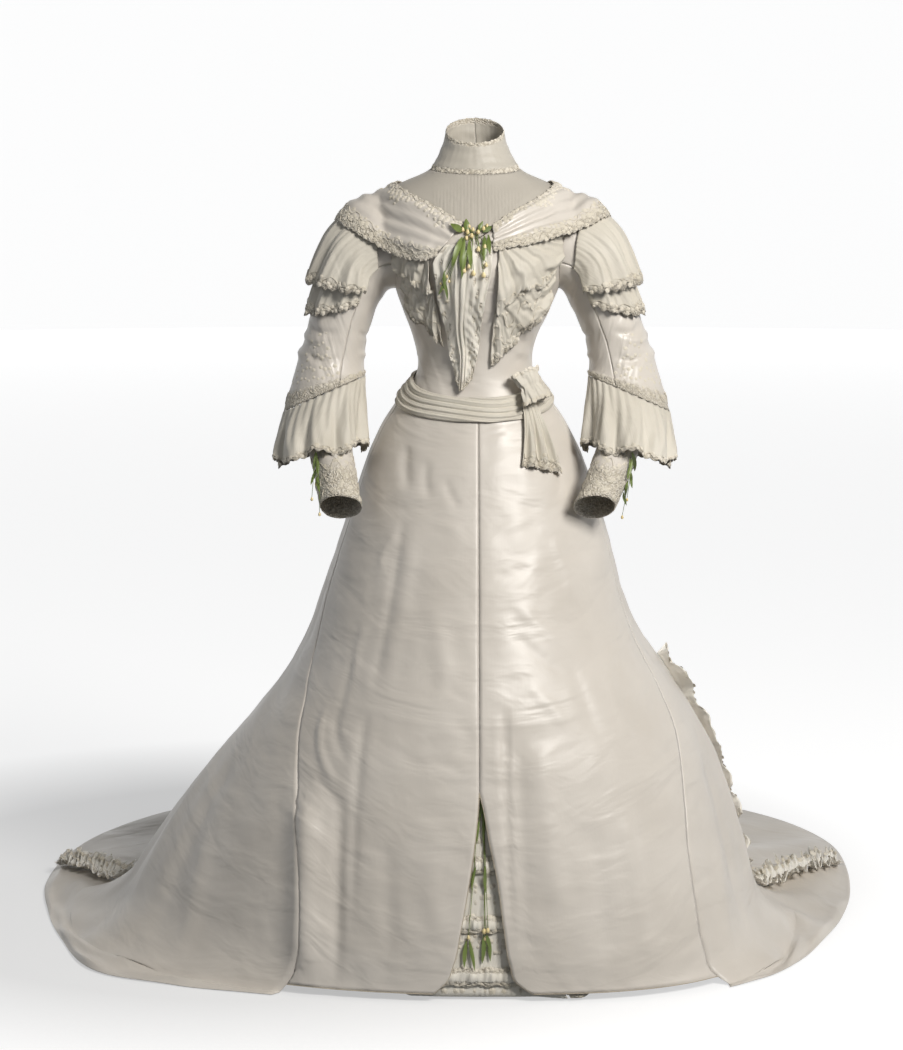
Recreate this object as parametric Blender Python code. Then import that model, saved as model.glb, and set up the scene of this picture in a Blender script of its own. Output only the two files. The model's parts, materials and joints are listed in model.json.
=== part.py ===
"""Wedding dress with a standing collar, elbow frills, a front slit and a short train.

Lengths are metres. X runs to the viewer's right, Y away from the viewer, Z up. The tables give
heights above the floor; each point is lowered by WAIST_HEIGHT, so the origin lies in the waist.
Angles round the body are degrees: 0 at the centre front, 90 at the wearer's left side (viewer's
right), -90 at the other side, 180 at the centre back.
"""

import math
from collections import namedtuple

import bpy
import numpy as np
from mathutils import Vector
from mathutils.bvhtree import BVHTree

WAIST_HEIGHT = 0.99
SATIN = 0.0022
CHIFFON = 0.0016
SHEER = 0.0014
LEAF = 0.0016
SEAM = 0.0003
SEWN = 0.0005
NECK_GAP = 0.0016

# Outline of the body and the falling skirt at each height; squareness 2 is an ellipse.
Section = namedtuple("Section", "height left right front back wide_y square_left square_right")
BODY = [
    Section(0.000, 0.735, 0.562, 0.388, 0.725, 0.122, 2.00, 2.80),
    Section(0.015, 0.698, 0.530, 0.386, 0.680, 0.120, 2.00, 2.78),
    Section(0.060, 0.642, 0.502, 0.383, 0.630, 0.115, 2.00, 2.70),
    Section(0.120, 0.603, 0.484, 0.378, 0.580, 0.108, 2.02, 2.60),
    Section(0.200, 0.553, 0.462, 0.368, 0.525, 0.095, 2.05, 2.48),
    Section(0.300, 0.482, 0.430, 0.350, 0.462, 0.075, 2.10, 2.35),
    Section(0.400, 0.402, 0.388, 0.325, 0.395, 0.050, 2.10, 2.22),
    Section(0.480, 0.338, 0.335, 0.298, 0.342, 0.030, 2.08, 2.12),
    Section(0.550, 0.300, 0.287, 0.270, 0.303, 0.016, 2.04, 2.06),
    Section(0.620, 0.277, 0.257, 0.243, 0.273, 0.006, 2.00, 2.00),
    Section(0.700, 0.249, 0.236, 0.212, 0.245, 0.000, 2.00, 2.00),
    Section(0.800, 0.215, 0.206, 0.173, 0.212, 0.000, 2.00, 2.00),
    Section(0.880, 0.188, 0.179, 0.143, 0.182, 0.000, 2.00, 2.00),
    Section(0.940, 0.158, 0.146, 0.117, 0.150, 0.000, 2.00, 2.00),
    Section(0.980, 0.130, 0.118, 0.103, 0.118, 0.000, 2.00, 2.00),
    Section(1.010, 0.108, 0.098, 0.097, 0.096, 0.000, 2.00, 2.00),
    Section(1.040, 0.104, 0.094, 0.098, 0.088, 0.000, 2.00, 2.00),
    Section(1.080, 0.113, 0.104, 0.106, 0.095, 0.000, 2.00, 2.00),
    Section(1.120, 0.128, 0.123, 0.124, 0.108, 0.000, 2.05, 2.05),
    Section(1.160, 0.141, 0.139, 0.138, 0.117, 0.000, 2.10, 2.10),
    Section(1.200, 0.153, 0.151, 0.143, 0.122, 0.000, 2.10, 2.10),
    Section(1.240, 0.162, 0.160, 0.137, 0.124, 0.000, 2.10, 2.10),
    Section(1.280, 0.172, 0.168, 0.119, 0.119, 0.000, 2.10, 2.10),
    Section(1.308, 0.172, 0.165, 0.099, 0.106, 0.000, 2.10, 2.10),
    Section(1.328, 0.159, 0.148, 0.083, 0.091, 0.000, 2.05, 2.05),
    Section(1.344, 0.128, 0.116, 0.071, 0.079, 0.000, 2.00, 2.00),
    Section(1.360, 0.091, 0.080, 0.062, 0.069, 0.000, 2.00, 2.00),
    Section(1.374, 0.073, 0.064, 0.056, 0.062, 0.000, 2.00, 2.00),
    Section(1.390, 0.069, 0.061, 0.053, 0.059, 0.000, 2.00, 2.00),
]

# Seams between the gores, as angles at each height.
Seam = namedtuple("Seam", "height front_left front_right back")
SEAMS = [
    Seam(0.00, 27, 43, 118),
    Seam(0.12, 29, 45, 118),
    Seam(0.24, 34, 48, 117),
    Seam(0.34, 42, 54, 116),
    Seam(0.44, 54, 63, 116),
    Seam(0.54, 68, 72, 116),
    Seam(0.65, 75, 77, 116),
    Seam(1.00, 76, 76, 118),
]

# Half of the front slit at each height, to either side.
Slit = namedtuple("Slit", "height left right")
SLIT = [
    Slit(0.012, 0.076, 0.088),
    Slit(0.030, 0.056, 0.062),
    Slit(0.060, 0.043, 0.051),
    Slit(0.126, 0.029, 0.040),
    Slit(0.200, 0.016, 0.030),
    Slit(0.262, 0.007, 0.017),
    Slit(0.330, 0.0006, 0.004),
    Slit(0.345, 0.0, 0.0),
]

# Edge of the cloth that lies on the floor, for the angles round the skirt.
Train = namedtuple("Train", "angle left_x left_y right_x right_y")
TRAIN = [
    Train(25, 0.325, -0.352, 0.300, -0.360),
    Train(43, 0.515, -0.292, 0.424, -0.303),
    Train(60, 0.668, -0.205, 0.528, -0.206),
    Train(75, 0.740, -0.030, 0.606, -0.056),
    Train(90, 0.790, 0.150, 0.672, 0.120),
    Train(105, 0.822, 0.360, 0.712, 0.310),
    Train(120, 0.803, 0.590, 0.727, 0.520),
    Train(135, 0.722, 0.800, 0.690, 0.735),
    Train(150, 0.560, 0.990, 0.556, 0.945),
    Train(165, 0.306, 1.132, 0.306, 1.115),
    Train(180, 0.000, 1.185, 0.000, 1.185),
]

# Soft pipe folds of the back and sides: where each runs, how wide and how far it stands out.
Fold = namedtuple("Fold", "angle_top angle_floor width rise start")
FOLDS = [
    Fold(168, 164, 5.5, 0.026, 0.86),
    Fold(152, 146, 5.5, 0.026, 0.84),
    Fold(136, 129, 5.5, 0.022, 0.80),
    Fold(-168, -164, 5.5, 0.026, 0.86),
    Fold(-152, -146, 5.5, 0.026, 0.84),
    Fold(-136, -129, 5.5, 0.022, 0.80),
    Fold(-84, -66, 8.0, 0.012, 0.52),
    Fold(-92, -98, 9.0, 0.010, 0.50),
    Fold(88, 82, 8.0, 0.010, 0.50),
]
FOLD_LOW = 0.86

# Rows of points of the gores, from the waist seam to the floor, and of the cloth on the floor.
SKIRT_ROWS = [0.0012, 0.02, 0.045, 0.085, 0.15, 0.23, 0.32, 0.40, 0.48, 0.56, 0.66, 0.77, 0.87, 0.94]
SKIRT_ROWS = [*SKIRT_ROWS, 0.988]
FLAT_ROWS = [1.0, 1.15, 1.5, 2.0]

# Armhole: an oval on the bodice round the side line.
ARMHOLE_MIDDLE = 1.2375
ARMHOLE_HALF = 0.0775
ARMHOLE_WIDTH = 28.0
SHOULDER_TOP = 1.336
NECKLINE_ANGLES = [0, 21, 43, 66, 90, 115, 145, 180]
NECKLINE_HEIGHTS = [1.252, 1.292, 1.317, 1.330, 1.336, 1.333, 1.318, 1.306]

# Rings of the sleeves; rise_out and rise_front tip a ring up on its outer and front side.
Ring = namedtuple("Ring", "along left right y height half_x half_y rise_out rise_front")
SLEEVE = [
    Ring(0.26, 0.209, 0.197, 0.000, 1.195, 0.046, 0.066, 0.045, 0.000),
    Ring(0.42, 0.224, 0.211, 0.001, 1.152, 0.050, 0.062, 0.021, 0.000),
    Ring(0.58, 0.238, 0.228, 0.003, 1.108, 0.0515, 0.060, 0.011, 0.000),
    Ring(0.72, 0.249, 0.243, 0.004, 1.064, 0.054, 0.061, 0.003, 0.000),
    Ring(0.86, 0.259, 0.254, 0.000, 1.020, 0.061, 0.065, -0.008, 0.002),
    Ring(1.00, 0.267, 0.263, -0.010, 0.978, 0.071, 0.071, -0.031, 0.006),
]
FRILL = [
    Ring(0.00, 0.267, 0.263, -0.010, 0.9769, 0.071, 0.071, -0.031, 0.006),
    Ring(0.30, 0.270, 0.263, -0.028, 0.949, 0.074, 0.075, -0.028, 0.008),
    Ring(0.65, 0.272, 0.262, -0.050, 0.911, 0.077, 0.080, -0.022, 0.010),
    Ring(1.00, 0.271, 0.259, -0.066, 0.879, 0.078, 0.083, -0.014, 0.012),
]
CUFF = [
    Ring(0.00, 0.259, 0.254, -0.001, 1.016, 0.0580, 0.0620, -0.009, 0.002),
    Ring(0.18, 0.262, 0.256, -0.012, 0.982, 0.048, 0.051, -0.012, 0.010),
    Ring(0.38, 0.261, 0.254, -0.038, 0.938, 0.040, 0.043, -0.006, 0.022),
    Ring(0.60, 0.254, 0.240, -0.076, 0.888, 0.037, 0.039, -0.003, 0.027),
    Ring(0.82, 0.243, 0.218, -0.117, 0.838, 0.036, 0.037, -0.001, 0.026),
    Ring(1.00, 0.234, 0.197, -0.149, 0.797, 0.035, 0.035, 0.000, 0.024),
]

# Collar: top edge, lower at the front; its lower edge follows the yoke.
COLLAR_MIDDLE_X = -0.006
COLLAR_MIDDLE_Y = 0.004
COLLAR_HALF_X = 0.0495
COLLAR_HALF_Y = 0.0505
COLLAR_TOP = 1.431
COLLAR_TOP_TILT = 0.021
COLLAR_BASE = 1.3670
COLLAR_BASE_TILT = 0.0100
COLLAR_BANDS = 3
COLLAR_BAND_RISE = 0.0009
PINTUCKS = 20
PINTUCK_SPAN = 66.0
PINTUCK_RISE = 0.0012

# Bertha: the angle of its upper edge on the neckline and, to either side, its lower edge.
Bertha = namedtuple("Bertha", "angle left_x left_height right_x right_height y")
BERTHA = [
    Bertha(9, 0.072, 1.224, 0.026, 1.230, -0.140),
    Bertha(22, 0.098, 1.215, 0.076, 1.241, -0.133),
    Bertha(42, 0.130, 1.219, 0.126, 1.253, -0.108),
    Bertha(62, 0.174, 1.238, 0.166, 1.262, -0.074),
    Bertha(80, 0.208, 1.256, 0.194, 1.267, -0.036),
    Bertha(92, 0.222, 1.264, 0.206, 1.268, 0.010),
    Bertha(108, 0.206, 1.262, 0.194, 1.262, 0.056),
    Bertha(135, 0.150, 1.250, 0.146, 1.250, 0.100),
    Bertha(160, 0.078, 1.240, 0.078, 1.240, 0.124),
    Bertha(178, 0.006, 1.236, 0.006, 1.236, 0.130),
]
BERTHA_FOLDS = [0.0, 0.0050, 0.0014, 0.0050, 0.0]
BERTHA_FOCUS = (0.085, 0.0, 1.17)
BERTHA_GAP = 0.0012

# Chest flounce: its upper and lower edge at each angle.
Flounce = namedtuple("Flounce", "angle top bottom")
FLOUNCE = [
    Flounce(12, 1.238, 1.035),
    Flounce(26, 1.242, 1.058),
    Flounce(40, 1.247, 1.090),
    Flounce(54, 1.252, 1.118),
    Flounce(60, 1.254, 1.130),
]
FLOUNCE_START_LEFT = 31.0
FLOUNCE_WAVES = 6
FLOUNCE_LIFT = 0.0085
FLOUNCE_WAVE = 0.0044

# Jabot: the angles of its two edges at each height; it ends in a point a little to the left.
Jabot = namedtuple("Jabot", "height start end")
JABOT = [
    Jabot(0.988, -21, -5),
    Jabot(1.010, -24, -3),
    Jabot(1.060, -26, 0),
    Jabot(1.110, -27, 2),
    Jabot(1.160, -28, 5),
    Jabot(1.205, -28, 8),
    Jabot(1.240, -20, 8),
]
JABOT_POINT = -13.0
JABOT_FOLDS = 5
JABOT_LIFT = 0.0065
JABOT_WAVE = 0.0042

# Cap flounces on the upper sleeve, in turns round the sleeve: 0 outer, 90 front, 180 inner.
Cap = namedtuple("Cap", "turn top_upper bottom_upper top_lower bottom_lower")
CAPS = [
    Cap(-120, 0.12, 0.30, 0.20, 0.40),
    Cap(-70, 0.08, 0.38, 0.20, 0.52),
    Cap(-20, 0.07, 0.43, 0.20, 0.58),
    Cap(30, 0.07, 0.43, 0.20, 0.58),
    Cap(75, 0.08, 0.40, 0.20, 0.54),
    Cap(112, 0.14, 0.33, 0.22, 0.44),
]
CAP_WAVES = 7
CapTier = namedtuple("CapTier", "node place start lift wave")
CAP_TIERS = [
    CapTier("cap_frill", "lower", 0.0041, 0.0095, 0.0034),
    CapTier("cap_flounce", "upper", 0.0052, 0.0230, 0.0042),
]

# Sash: its middle line and half height; its pleats run round the waist.
SASH_MIDDLE = 0.988
SASH_TILT = 0.030
SASH_HALF = 0.0205
SASH_PLEATS = 3
SASH_LIFT = 0.0050
SASH_PLEAT = 0.0024
SASH_EDGE = 0.0030
KNOT_ANGLE = 41.0
KNOT_HEIGHT = 0.987
KNOT_OUT = 0.032
KNOT_DEEP = 0.0110
KNOT_WIDE = 0.023
KNOT_TALL = 0.028
KNOT_WALL = 0.0020

# Garland ruffles: the angle each follows and its half width, along the skirt and the train.
Garland = namedtuple("Garland", "along left right half")
GARLAND = [
    Garland(0.500, 130, 98, 0.014),
    Garland(0.600, 128, 100, 0.025),
    Garland(0.800, 122, 104, 0.032),
    Garland(1.000, 115, 108, 0.034),
    Garland(1.500, 113, 113, 0.038),
    Garland(1.930, 112, 117, 0.040),
]
GARLAND_LIFT = 0.021

# Inset behind the slit and its ruched tiers.
INSET_ANGLE = 15.0
INSET_TOP = 0.440
INSET_DEPTH = 0.016
Tier = namedtuple("Tier", "height half_angle drop")
TIERS = [Tier(0.238, 4.4, 0.030), Tier(0.140, 6.6, 0.030), Tier(0.052, 8.6, 0.032)]
TIER_PUFF = 0.0060
TIER_WAVE = 0.0022
TIER_WAVES = 5

Look = namedtuple("Look", "name colour rough")
SATIN_LOOK = Look("ivory satin", (0.80, 0.76, 0.70), 0.35)
CHIFFON_LOOK = Look("ivory chiffon", (0.78, 0.77, 0.73), 0.75)
LACE_LOOK = Look("cream lace", (0.72, 0.66, 0.56), 0.85)
SHEER_LOOK = Look("pintucked net", (0.74, 0.70, 0.62), 0.80)
LEAF_LOOK = Look("waxed leaves", (0.22, 0.28, 0.08), 0.55)

# Stems of the sprays, seen from the front: x and height.
SPRAY_BODICE = [(-0.024, 1.276), (-0.014, 1.246), (0.000, 1.216), (0.000, 1.184)]
SPRAY_LEFT = [(-0.276, 0.892), (-0.277, 0.850), (-0.270, 0.790)]
SPRAY_RIGHT = [(0.262, 0.885), (0.258, 0.850), (0.240, 0.776)]
SPRAY_SLIT = [(0.004, 0.338), (0.004, 0.260), (-0.006, 0.180), (0.012, 0.110)]
LEAF_RIB = 0.0016
AROUND = ((0, 0), (0.004, 0), (-0.004, 0), (0, 0.005), (0, -0.005))
SEAT_GAP = 0.0008

SOLIDS = {}


def curve(xs, ys, at):
    """A smooth line through the points of a table, flat where the values turn round."""
    xs, ys = np.asarray(xs, float), np.asarray(ys, float)
    at = np.clip(np.asarray(at, float), xs[0], xs[-1])
    step, slope = np.diff(xs), np.diff(ys) / np.diff(xs)
    lean = np.concatenate([slope[:1], slope[1:], slope[-1:]])
    lean[1:-1] = (slope[1:] * step[:-1] + slope[:-1] * step[1:]) / (step[1:] + step[:-1])
    lean[1:-1][slope[1:] * slope[:-1] <= 0] = 0
    i = np.clip(np.searchsorted(xs, at, side="right") - 1, 0, len(xs) - 2)
    h = step[i]
    t = (at - xs[i]) / h
    return (
        (1 + 2 * t) * (1 - t) ** 2 * ys[i]
        + t * (1 - t) ** 2 * h * lean[i]
        + t * t * (3 - 2 * t) * ys[i + 1]
        + t * t * (t - 1) * h * lean[i + 1]
    )


def read(table, key, name, at):
    return curve([getattr(r, key) for r in table], [getattr(r, name) for r in table], at)


def ease(t):
    t = np.clip(t, 0, 1)
    return t * t * (3 - 2 * t)


def grid(us, vs):
    return np.meshgrid(np.asarray(us, float), np.asarray(vs, float))


def body(angle, height):
    """The point of the body's outline at an angle and a height above the floor."""
    angle, height = np.broadcast_arrays(np.asarray(angle, float), np.asarray(height, float))
    a = np.radians(angle)
    s, c = np.sin(a), np.cos(a)
    left = s < 0

    def of(name):
        return read(BODY, "height", name, height)

    side = np.where(left, of("left"), of("right"))
    power = np.where(c > 0, np.where(left, of("square_left"), of("square_right")), 2.0)
    wide_y = of("wide_y")
    depth = np.where(c > 0, of("front") + wide_y, of("back") - wide_y)
    out = (np.abs(s) ** power + np.abs(c) ** power) ** (-1 / power)
    return np.stack([side * s * out, wide_y - depth * c * out, height + 0 * s], axis=-1)


def normals(surface, u, v, du, dv):
    """Unit normals of a surface of two numbers, from points close by."""
    n = np.cross(surface(u + du, v) - surface(u - du, v), surface(u, v + dv) - surface(u, v - dv))
    return n / np.maximum(np.linalg.norm(n, axis=-1, keepdims=True), 1e-12)


def body_normals(angle, height):
    return normals(body, angle, height, 0.5, 0.002)


def level_normals(angle, height):
    """Normals of the outline at one height, for pieces that move level with the floor."""
    n = body_normals(angle, height)
    n[..., 2] = 0
    return n / np.linalg.norm(n, axis=-1, keepdims=True)


def on_body(angle, height, off):
    """A point of the body's outline, moved out by off."""
    return body(angle, height) + body_normals(angle, height) * np.asarray(off)[..., None]


def waist(angle):
    """Height of the waist seam, lower at the front."""
    return 0.9925 - 0.0375 * np.cos(np.radians(angle))


def fold_rise(angle, height):
    """How far the pipe folds stand out of the skirt."""
    total = 0.0
    for f in FOLDS:
        low = ease((f.start - height) / f.start)
        at = f.angle_floor + (f.angle_top - f.angle_floor) * np.clip(height / FOLD_LOW, 0, 1)
        total = total + f.rise * low * np.exp(-(((angle - at) / f.width) ** 2))
    return total


def falling(angle, down):
    """The falling skirt: down is 0 at the waist seam and 1 at the floor."""
    nominal = 1.0 - down
    height = nominal + (waist(angle) - 1.0) * np.clip(1 - down / 0.25, 0, 1) ** 2
    p = on_body(angle, height, fold_rise(angle, height))
    p[..., 2] += SATIN * np.clip(1 - nominal / 0.3, 0, 1)
    return p


def train_edge(angle):
    size = np.abs(angle)
    left = angle < 0
    x = np.where(left, -read(TRAIN, "angle", "left_x", size), read(TRAIN, "angle", "right_x", size))
    y = np.where(left, read(TRAIN, "angle", "left_y", size), read(TRAIN, "angle", "right_y", size))
    return np.stack([x, y, np.full_like(x, SATIN)], axis=-1)


def skirt(angle, down):
    """The skirt and, for down from 1 to 2, the cloth that lies on the floor."""
    angle, down = np.broadcast_arrays(np.asarray(angle, float), np.asarray(down, float))
    wall = falling(angle, np.minimum(down, 1.0))
    r = np.clip(down - 1, 0, 1)[..., None]
    flat = wall * (1 - r) + train_edge(angle) * r
    flat[..., 2] = SATIN + (wall[..., 2] - SATIN) * (1 - r[..., 0]) ** 2
    return np.where(r > 0, flat, wall)


def skirt_normals(angle, down):
    """Normals of the skirt, from one side of the fold where it meets the floor."""
    near = np.where(down <= 1, np.clip(down, 0.003, 0.997), np.maximum(down, 1.003))
    return normals(lambda a, d: skirt(a, -d), angle, -near, 0.4, 0.002)


def skirt_wall(angle, down, thick):
    """Outer and inner points of the skirt; where it meets the floor the two directions are shared."""
    p, n = skirt(angle, down), skirt_normals(angle, down)
    flat = skirt_normals(angle, np.full_like(down, 1.01))
    corner = (np.abs(down - 1) < 1e-6)[..., None]
    shared = (n + flat) / (1 + np.sum(n * flat, axis=-1, keepdims=True))
    inner = p - thick * np.where(corner, shared, n)
    inner[..., 2] = np.where(down >= 1, np.maximum(inner[..., 2], 0.0), inner[..., 2])
    return p, inner


def neckline(angle):
    """Height of the neckline of the bodice at an angle."""
    return curve(NECKLINE_ANGLES, NECKLINE_HEIGHTS, np.abs(angle))


def collar_base(angle):
    return COLLAR_BASE - COLLAR_BASE_TILT * np.cos(np.radians(angle))


def collar(angle, share):
    """The standing collar, from the yoke's edge (share 0) to its tilted top edge (share 1)."""
    a = np.radians(angle)
    base = body(angle, collar_base(angle)) + np.array([0, 0, SEAM])
    top = np.stack(
        [
            COLLAR_MIDDLE_X + COLLAR_HALF_X * np.sin(a),
            COLLAR_MIDDLE_Y - COLLAR_HALF_Y * np.cos(a),
            COLLAR_TOP - COLLAR_TOP_TILT * np.cos(a),
        ],
        axis=-1,
    )
    share = np.asarray(share)[..., None]
    bend = 1 - np.clip(1 - share, 0, 1) ** 1.6
    p = base * (1 - share) + top * share
    p[..., :2] = (base * (1 - bend) + top * bend)[..., :2]
    return p


def armhole(side, turn):
    """Angle and height of a point of the armhole: turn 0 at the shoulder, 90 at its front."""
    t = np.radians(turn)
    low = ARMHOLE_MIDDLE - ARMHOLE_HALF
    angle = 90 - ARMHOLE_WIDTH * np.sin(t)
    share = (ARMHOLE_MIDDLE + ARMHOLE_HALF * np.cos(t) - low) / (SHOULDER_TOP - low)
    return side * angle, low + share * (neckline(angle) - low)


def tube(table, side, turn, along):
    """A point of a sleeve's ring table."""
    t = np.radians(turn)

    def of(name):
        return read(table, "along", name, along)

    x = of("right") if side > 0 else of("left")
    return np.stack(
        [
            side * (x + of("half_x") * np.cos(t)),
            of("y") - of("half_y") * np.sin(t),
            of("height") + of("rise_out") * np.cos(t) + of("rise_front") * np.sin(t),
        ],
        axis=-1,
    )


def sleeve(side, turn, along):
    """The upper sleeve, which starts on the armhole and goes over into its rings."""
    turn, along = np.broadcast_arrays(np.asarray(turn, float), np.asarray(along, float))
    angle, height = armhole(side, turn)
    start = on_body(angle, height, np.full(turn.shape, SEWN))
    first = SLEEVE[0].along
    ring = tube(SLEEVE, side, turn, np.maximum(along, first))
    step = 0.01
    end = tube(SLEEVE, side, turn, first + 0 * along)
    end_run = (tube(SLEEVE, side, turn, first + step + 0 * along) - end) / step * first
    out = np.abs(end[..., :1] - start[..., :1]) * np.array([side * 0.9, 0.0, 0.0])
    t = np.clip(along / first, 0, 1)[..., None]
    head = (
        (1 + 2 * t) * (1 - t) ** 2 * start
        + t * (1 - t) ** 2 * out
        + t * t * (3 - 2 * t) * end
        + t * t * (t - 1) * end_run
    )
    return np.where(along[..., None] < first, head, ring)


def round_normals(surface, side, turn, along):
    """Outward normals of a sleeve surface."""
    near = np.clip(along, 0.004, 0.996)
    return side * normals(lambda t, a: surface(side, t, a), turn, near, 1.0, 0.004)


def frill_tube(side, turn, along):
    return tube(FRILL, side, turn, along)


def cuff_tube(side, turn, along):
    return tube(CUFF, side, turn, along)


def narrowed(outer, inner, left=0.0, right=0.0, top=0.0, bottom=0.0):
    """Draws the edges of a wall back along its own surface."""
    outer, inner = outer.copy(), inner.copy()
    edges = ((0, 1, left, 0), (-1, -2, right, 0), (0, 1, top, 1), (-1, -2, bottom, 1))
    for edge, nxt, gap, rows in edges:
        if gap:
            at = (edge,) if rows else (slice(None), edge)
            to = (nxt,) if rows else (slice(None), nxt)
            d = outer[to] - outer[at]
            d = d / np.maximum(np.linalg.norm(d, axis=-1, keepdims=True), 1e-9) * gap
            outer[at] += d
            inner[at] += d
    return outer, inner


def add(name, look, points, faces):
    """Adds one closed solid with its own material; the points are heights above the floor."""
    points = np.asarray(points, float)
    tri = points[np.array(faces)]
    if np.sum(np.cross(tri[:, 0], tri[:, 1]) * tri[:, 2]) < 0:
        faces = [f[::-1] for f in faces]
    SOLIDS[name] = (points, faces)
    mesh = bpy.data.meshes.new(name)
    mesh.from_pydata([(x, y, z - WAIST_HEIGHT) for x, y, z in points.tolist()], [], faces)
    mesh.polygons.foreach_set("use_smooth", [True] * len(faces))
    material = bpy.data.materials.new(f"{name} {look.name}")
    material.use_nodes = True
    shader = material.node_tree.nodes["Principled BSDF"]
    shader.inputs["Base Color"].default_value = (*look.colour, 1)
    shader.inputs["Roughness"].default_value = look.rough
    mesh.materials.append(material)
    bpy.context.scene.collection.objects.link(bpy.data.objects.new(name, mesh))


def wall(name, look, outer, inner, closed=False):
    """A cloth wall between two grids of points, closed round its edges."""
    rows, cols = outer.shape[:2]
    back = rows * cols
    faces = []

    def quad(a, b, c, d):
        faces.extend([(a, b, c), (a, c, d)])

    last = cols if closed else cols - 1
    for i in range(rows - 1):
        for j in range(last):
            k = (j + 1) % cols
            a, b, c, d = i * cols + j, i * cols + k, (i + 1) * cols + k, (i + 1) * cols + j
            quad(a, b, c, d)
            faces.extend([(a + back, c + back, b + back), (a + back, d + back, c + back)])
    for j in range(last):
        k = (j + 1) % cols
        quad(k, j, j + back, k + back)
        a, b = (rows - 1) * cols + j, (rows - 1) * cols + k
        quad(a, b, b + back, a + back)
    if not closed:
        for i in range(rows - 1):
            a, b = i * cols, (i + 1) * cols
            quad(a, b, b + back, a + back)
            a, b = i * cols + cols - 1, (i + 1) * cols + cols - 1
            quad(b, a, a + back, b + back)
    add(name, look, np.concatenate([outer.reshape(-1, 3), inner.reshape(-1, 3)]), faces)


def trees(*names):
    """Search trees of solids already made."""
    return [BVHTree.FromPolygons([Vector(p) for p in SOLIDS[n][0]], SOLIDS[n][1]) for n in names]


def reach(point, line, found, start):
    """How far along its line the outermost solid stands beyond a point, looked for from start."""
    point, line = Vector(point), Vector(line).normalized()
    far = -1.0
    for tree in found:
        hit = tree.ray_cast(point + line * start, -line)
        if hit[0] is not None:
            far = max(far, (hit[0] - point).dot(line))
    return far


def cells(values, rows=5, cols=5):
    """Points spread evenly over the cells of a grid, with the row and column of each cell."""
    for i in range(values.shape[0] - 1):
        for j in range(values.shape[1] - 1):
            for a in np.linspace(0, 1, rows + 1):
                for b in np.linspace(0, 1, cols + 1):
                    low = values[i, j] * (1 - b) + values[i, j + 1] * b
                    high = values[i + 1, j] * (1 - b) + values[i + 1, j + 1] * b
                    yield i, j, low * (1 - a) + high * a


def laid_on(points, lines, found, clear, start=0.5):
    """Moves a grid of points out along its lines until it clears the solids, its cells as well."""
    p = points.copy()
    for i in range(p.shape[0]):
        for j in range(p.shape[1]):
            lack = reach(p[i, j], lines[i, j], found, start) + clear
            p[i, j] += lines[i, j] * max(lack, 0)
    for _ in range(5):
        push = np.zeros(p.shape[:2])
        for i, j, both in cells(np.concatenate([p, lines], axis=-1)):
            lack = reach(both[:3], both[3:], found, start) + clear * 0.8
            if lack > 0:
                cell = push[i : i + 2, j : j + 2]
                np.maximum(cell, lack, out=cell)
        if push.max() < 1e-5:
            break
        p += lines * push[..., None]
    return p


def seat_shift(points, line, found):
    """How far a stiff piece moves along a line so that it rests on the solids behind it."""
    most = max(reach(at, line, found, 0.0) for _, _, at in cells(points))
    return np.array(line) * (most + SEAT_GAP)


def slit_angle(height, side):
    """How far round from the centre front the slit's edge lies."""
    height = np.clip(height, 0.012, 0.345)
    half = read(SLIT, "height", "left" if side < 0 else "right", height)
    wide = read(BODY, "height", "left" if side < 0 else "right", height)
    return np.degrees(half / wide)


def gores():
    """Six gores; the side and back ones run on over the floor as the train."""
    for side, name in ((-1, "left"), (1, "right")):
        down = np.array(SKIRT_ROWS)
        height = 1 - down
        seam = read(SEAMS, "height", f"front_{name}", height)
        open_to = np.where(height < 0.345, slit_angle(height, side), 0.0)
        share = np.linspace(0, 1, 7)[None, :]
        angle = side * (open_to[:, None] + (seam - open_to)[:, None] * share)
        rows = np.repeat(down[:, None], 7, axis=1)
        outer, inner = skirt_wall(angle, rows, SATIN)
        outer, inner = narrowed(outer, inner, left=SEAM / 2, right=SEAM / 2)
        wall(f"skirt_front_{name}", SATIN_LOOK, outer, inner)
        down = np.array(SKIRT_ROWS + FLAT_ROWS)
        height = np.maximum(1 - down, 0)
        front = read(SEAMS, "height", f"front_{name}", height)
        back = read(SEAMS, "height", "back", height)
        rows = np.repeat(down[:, None], 7, axis=1)
        angle = side * (front[:, None] + (back - front)[:, None] * share)
        outer, inner = skirt_wall(angle, rows, SATIN)
        outer, inner = narrowed(outer, inner, left=SEAM / 2, right=SEAM / 2)
        wall(f"skirt_side_{name}", SATIN_LOOK, outer, inner)
        share_back = np.linspace(0, 1, 11)[None, :]
        rows = np.repeat(down[:, None], 11, axis=1)
        angle = side * (back[:, None] + (180 - back)[:, None] * share_back)
        outer, inner = skirt_wall(angle, rows, SATIN)
        outer, inner = narrowed(outer, inner, left=SEAM / 2, right=SEAM / 2)
        wall(f"skirt_back_{name}", SATIN_LOOK, outer, inner)


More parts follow.
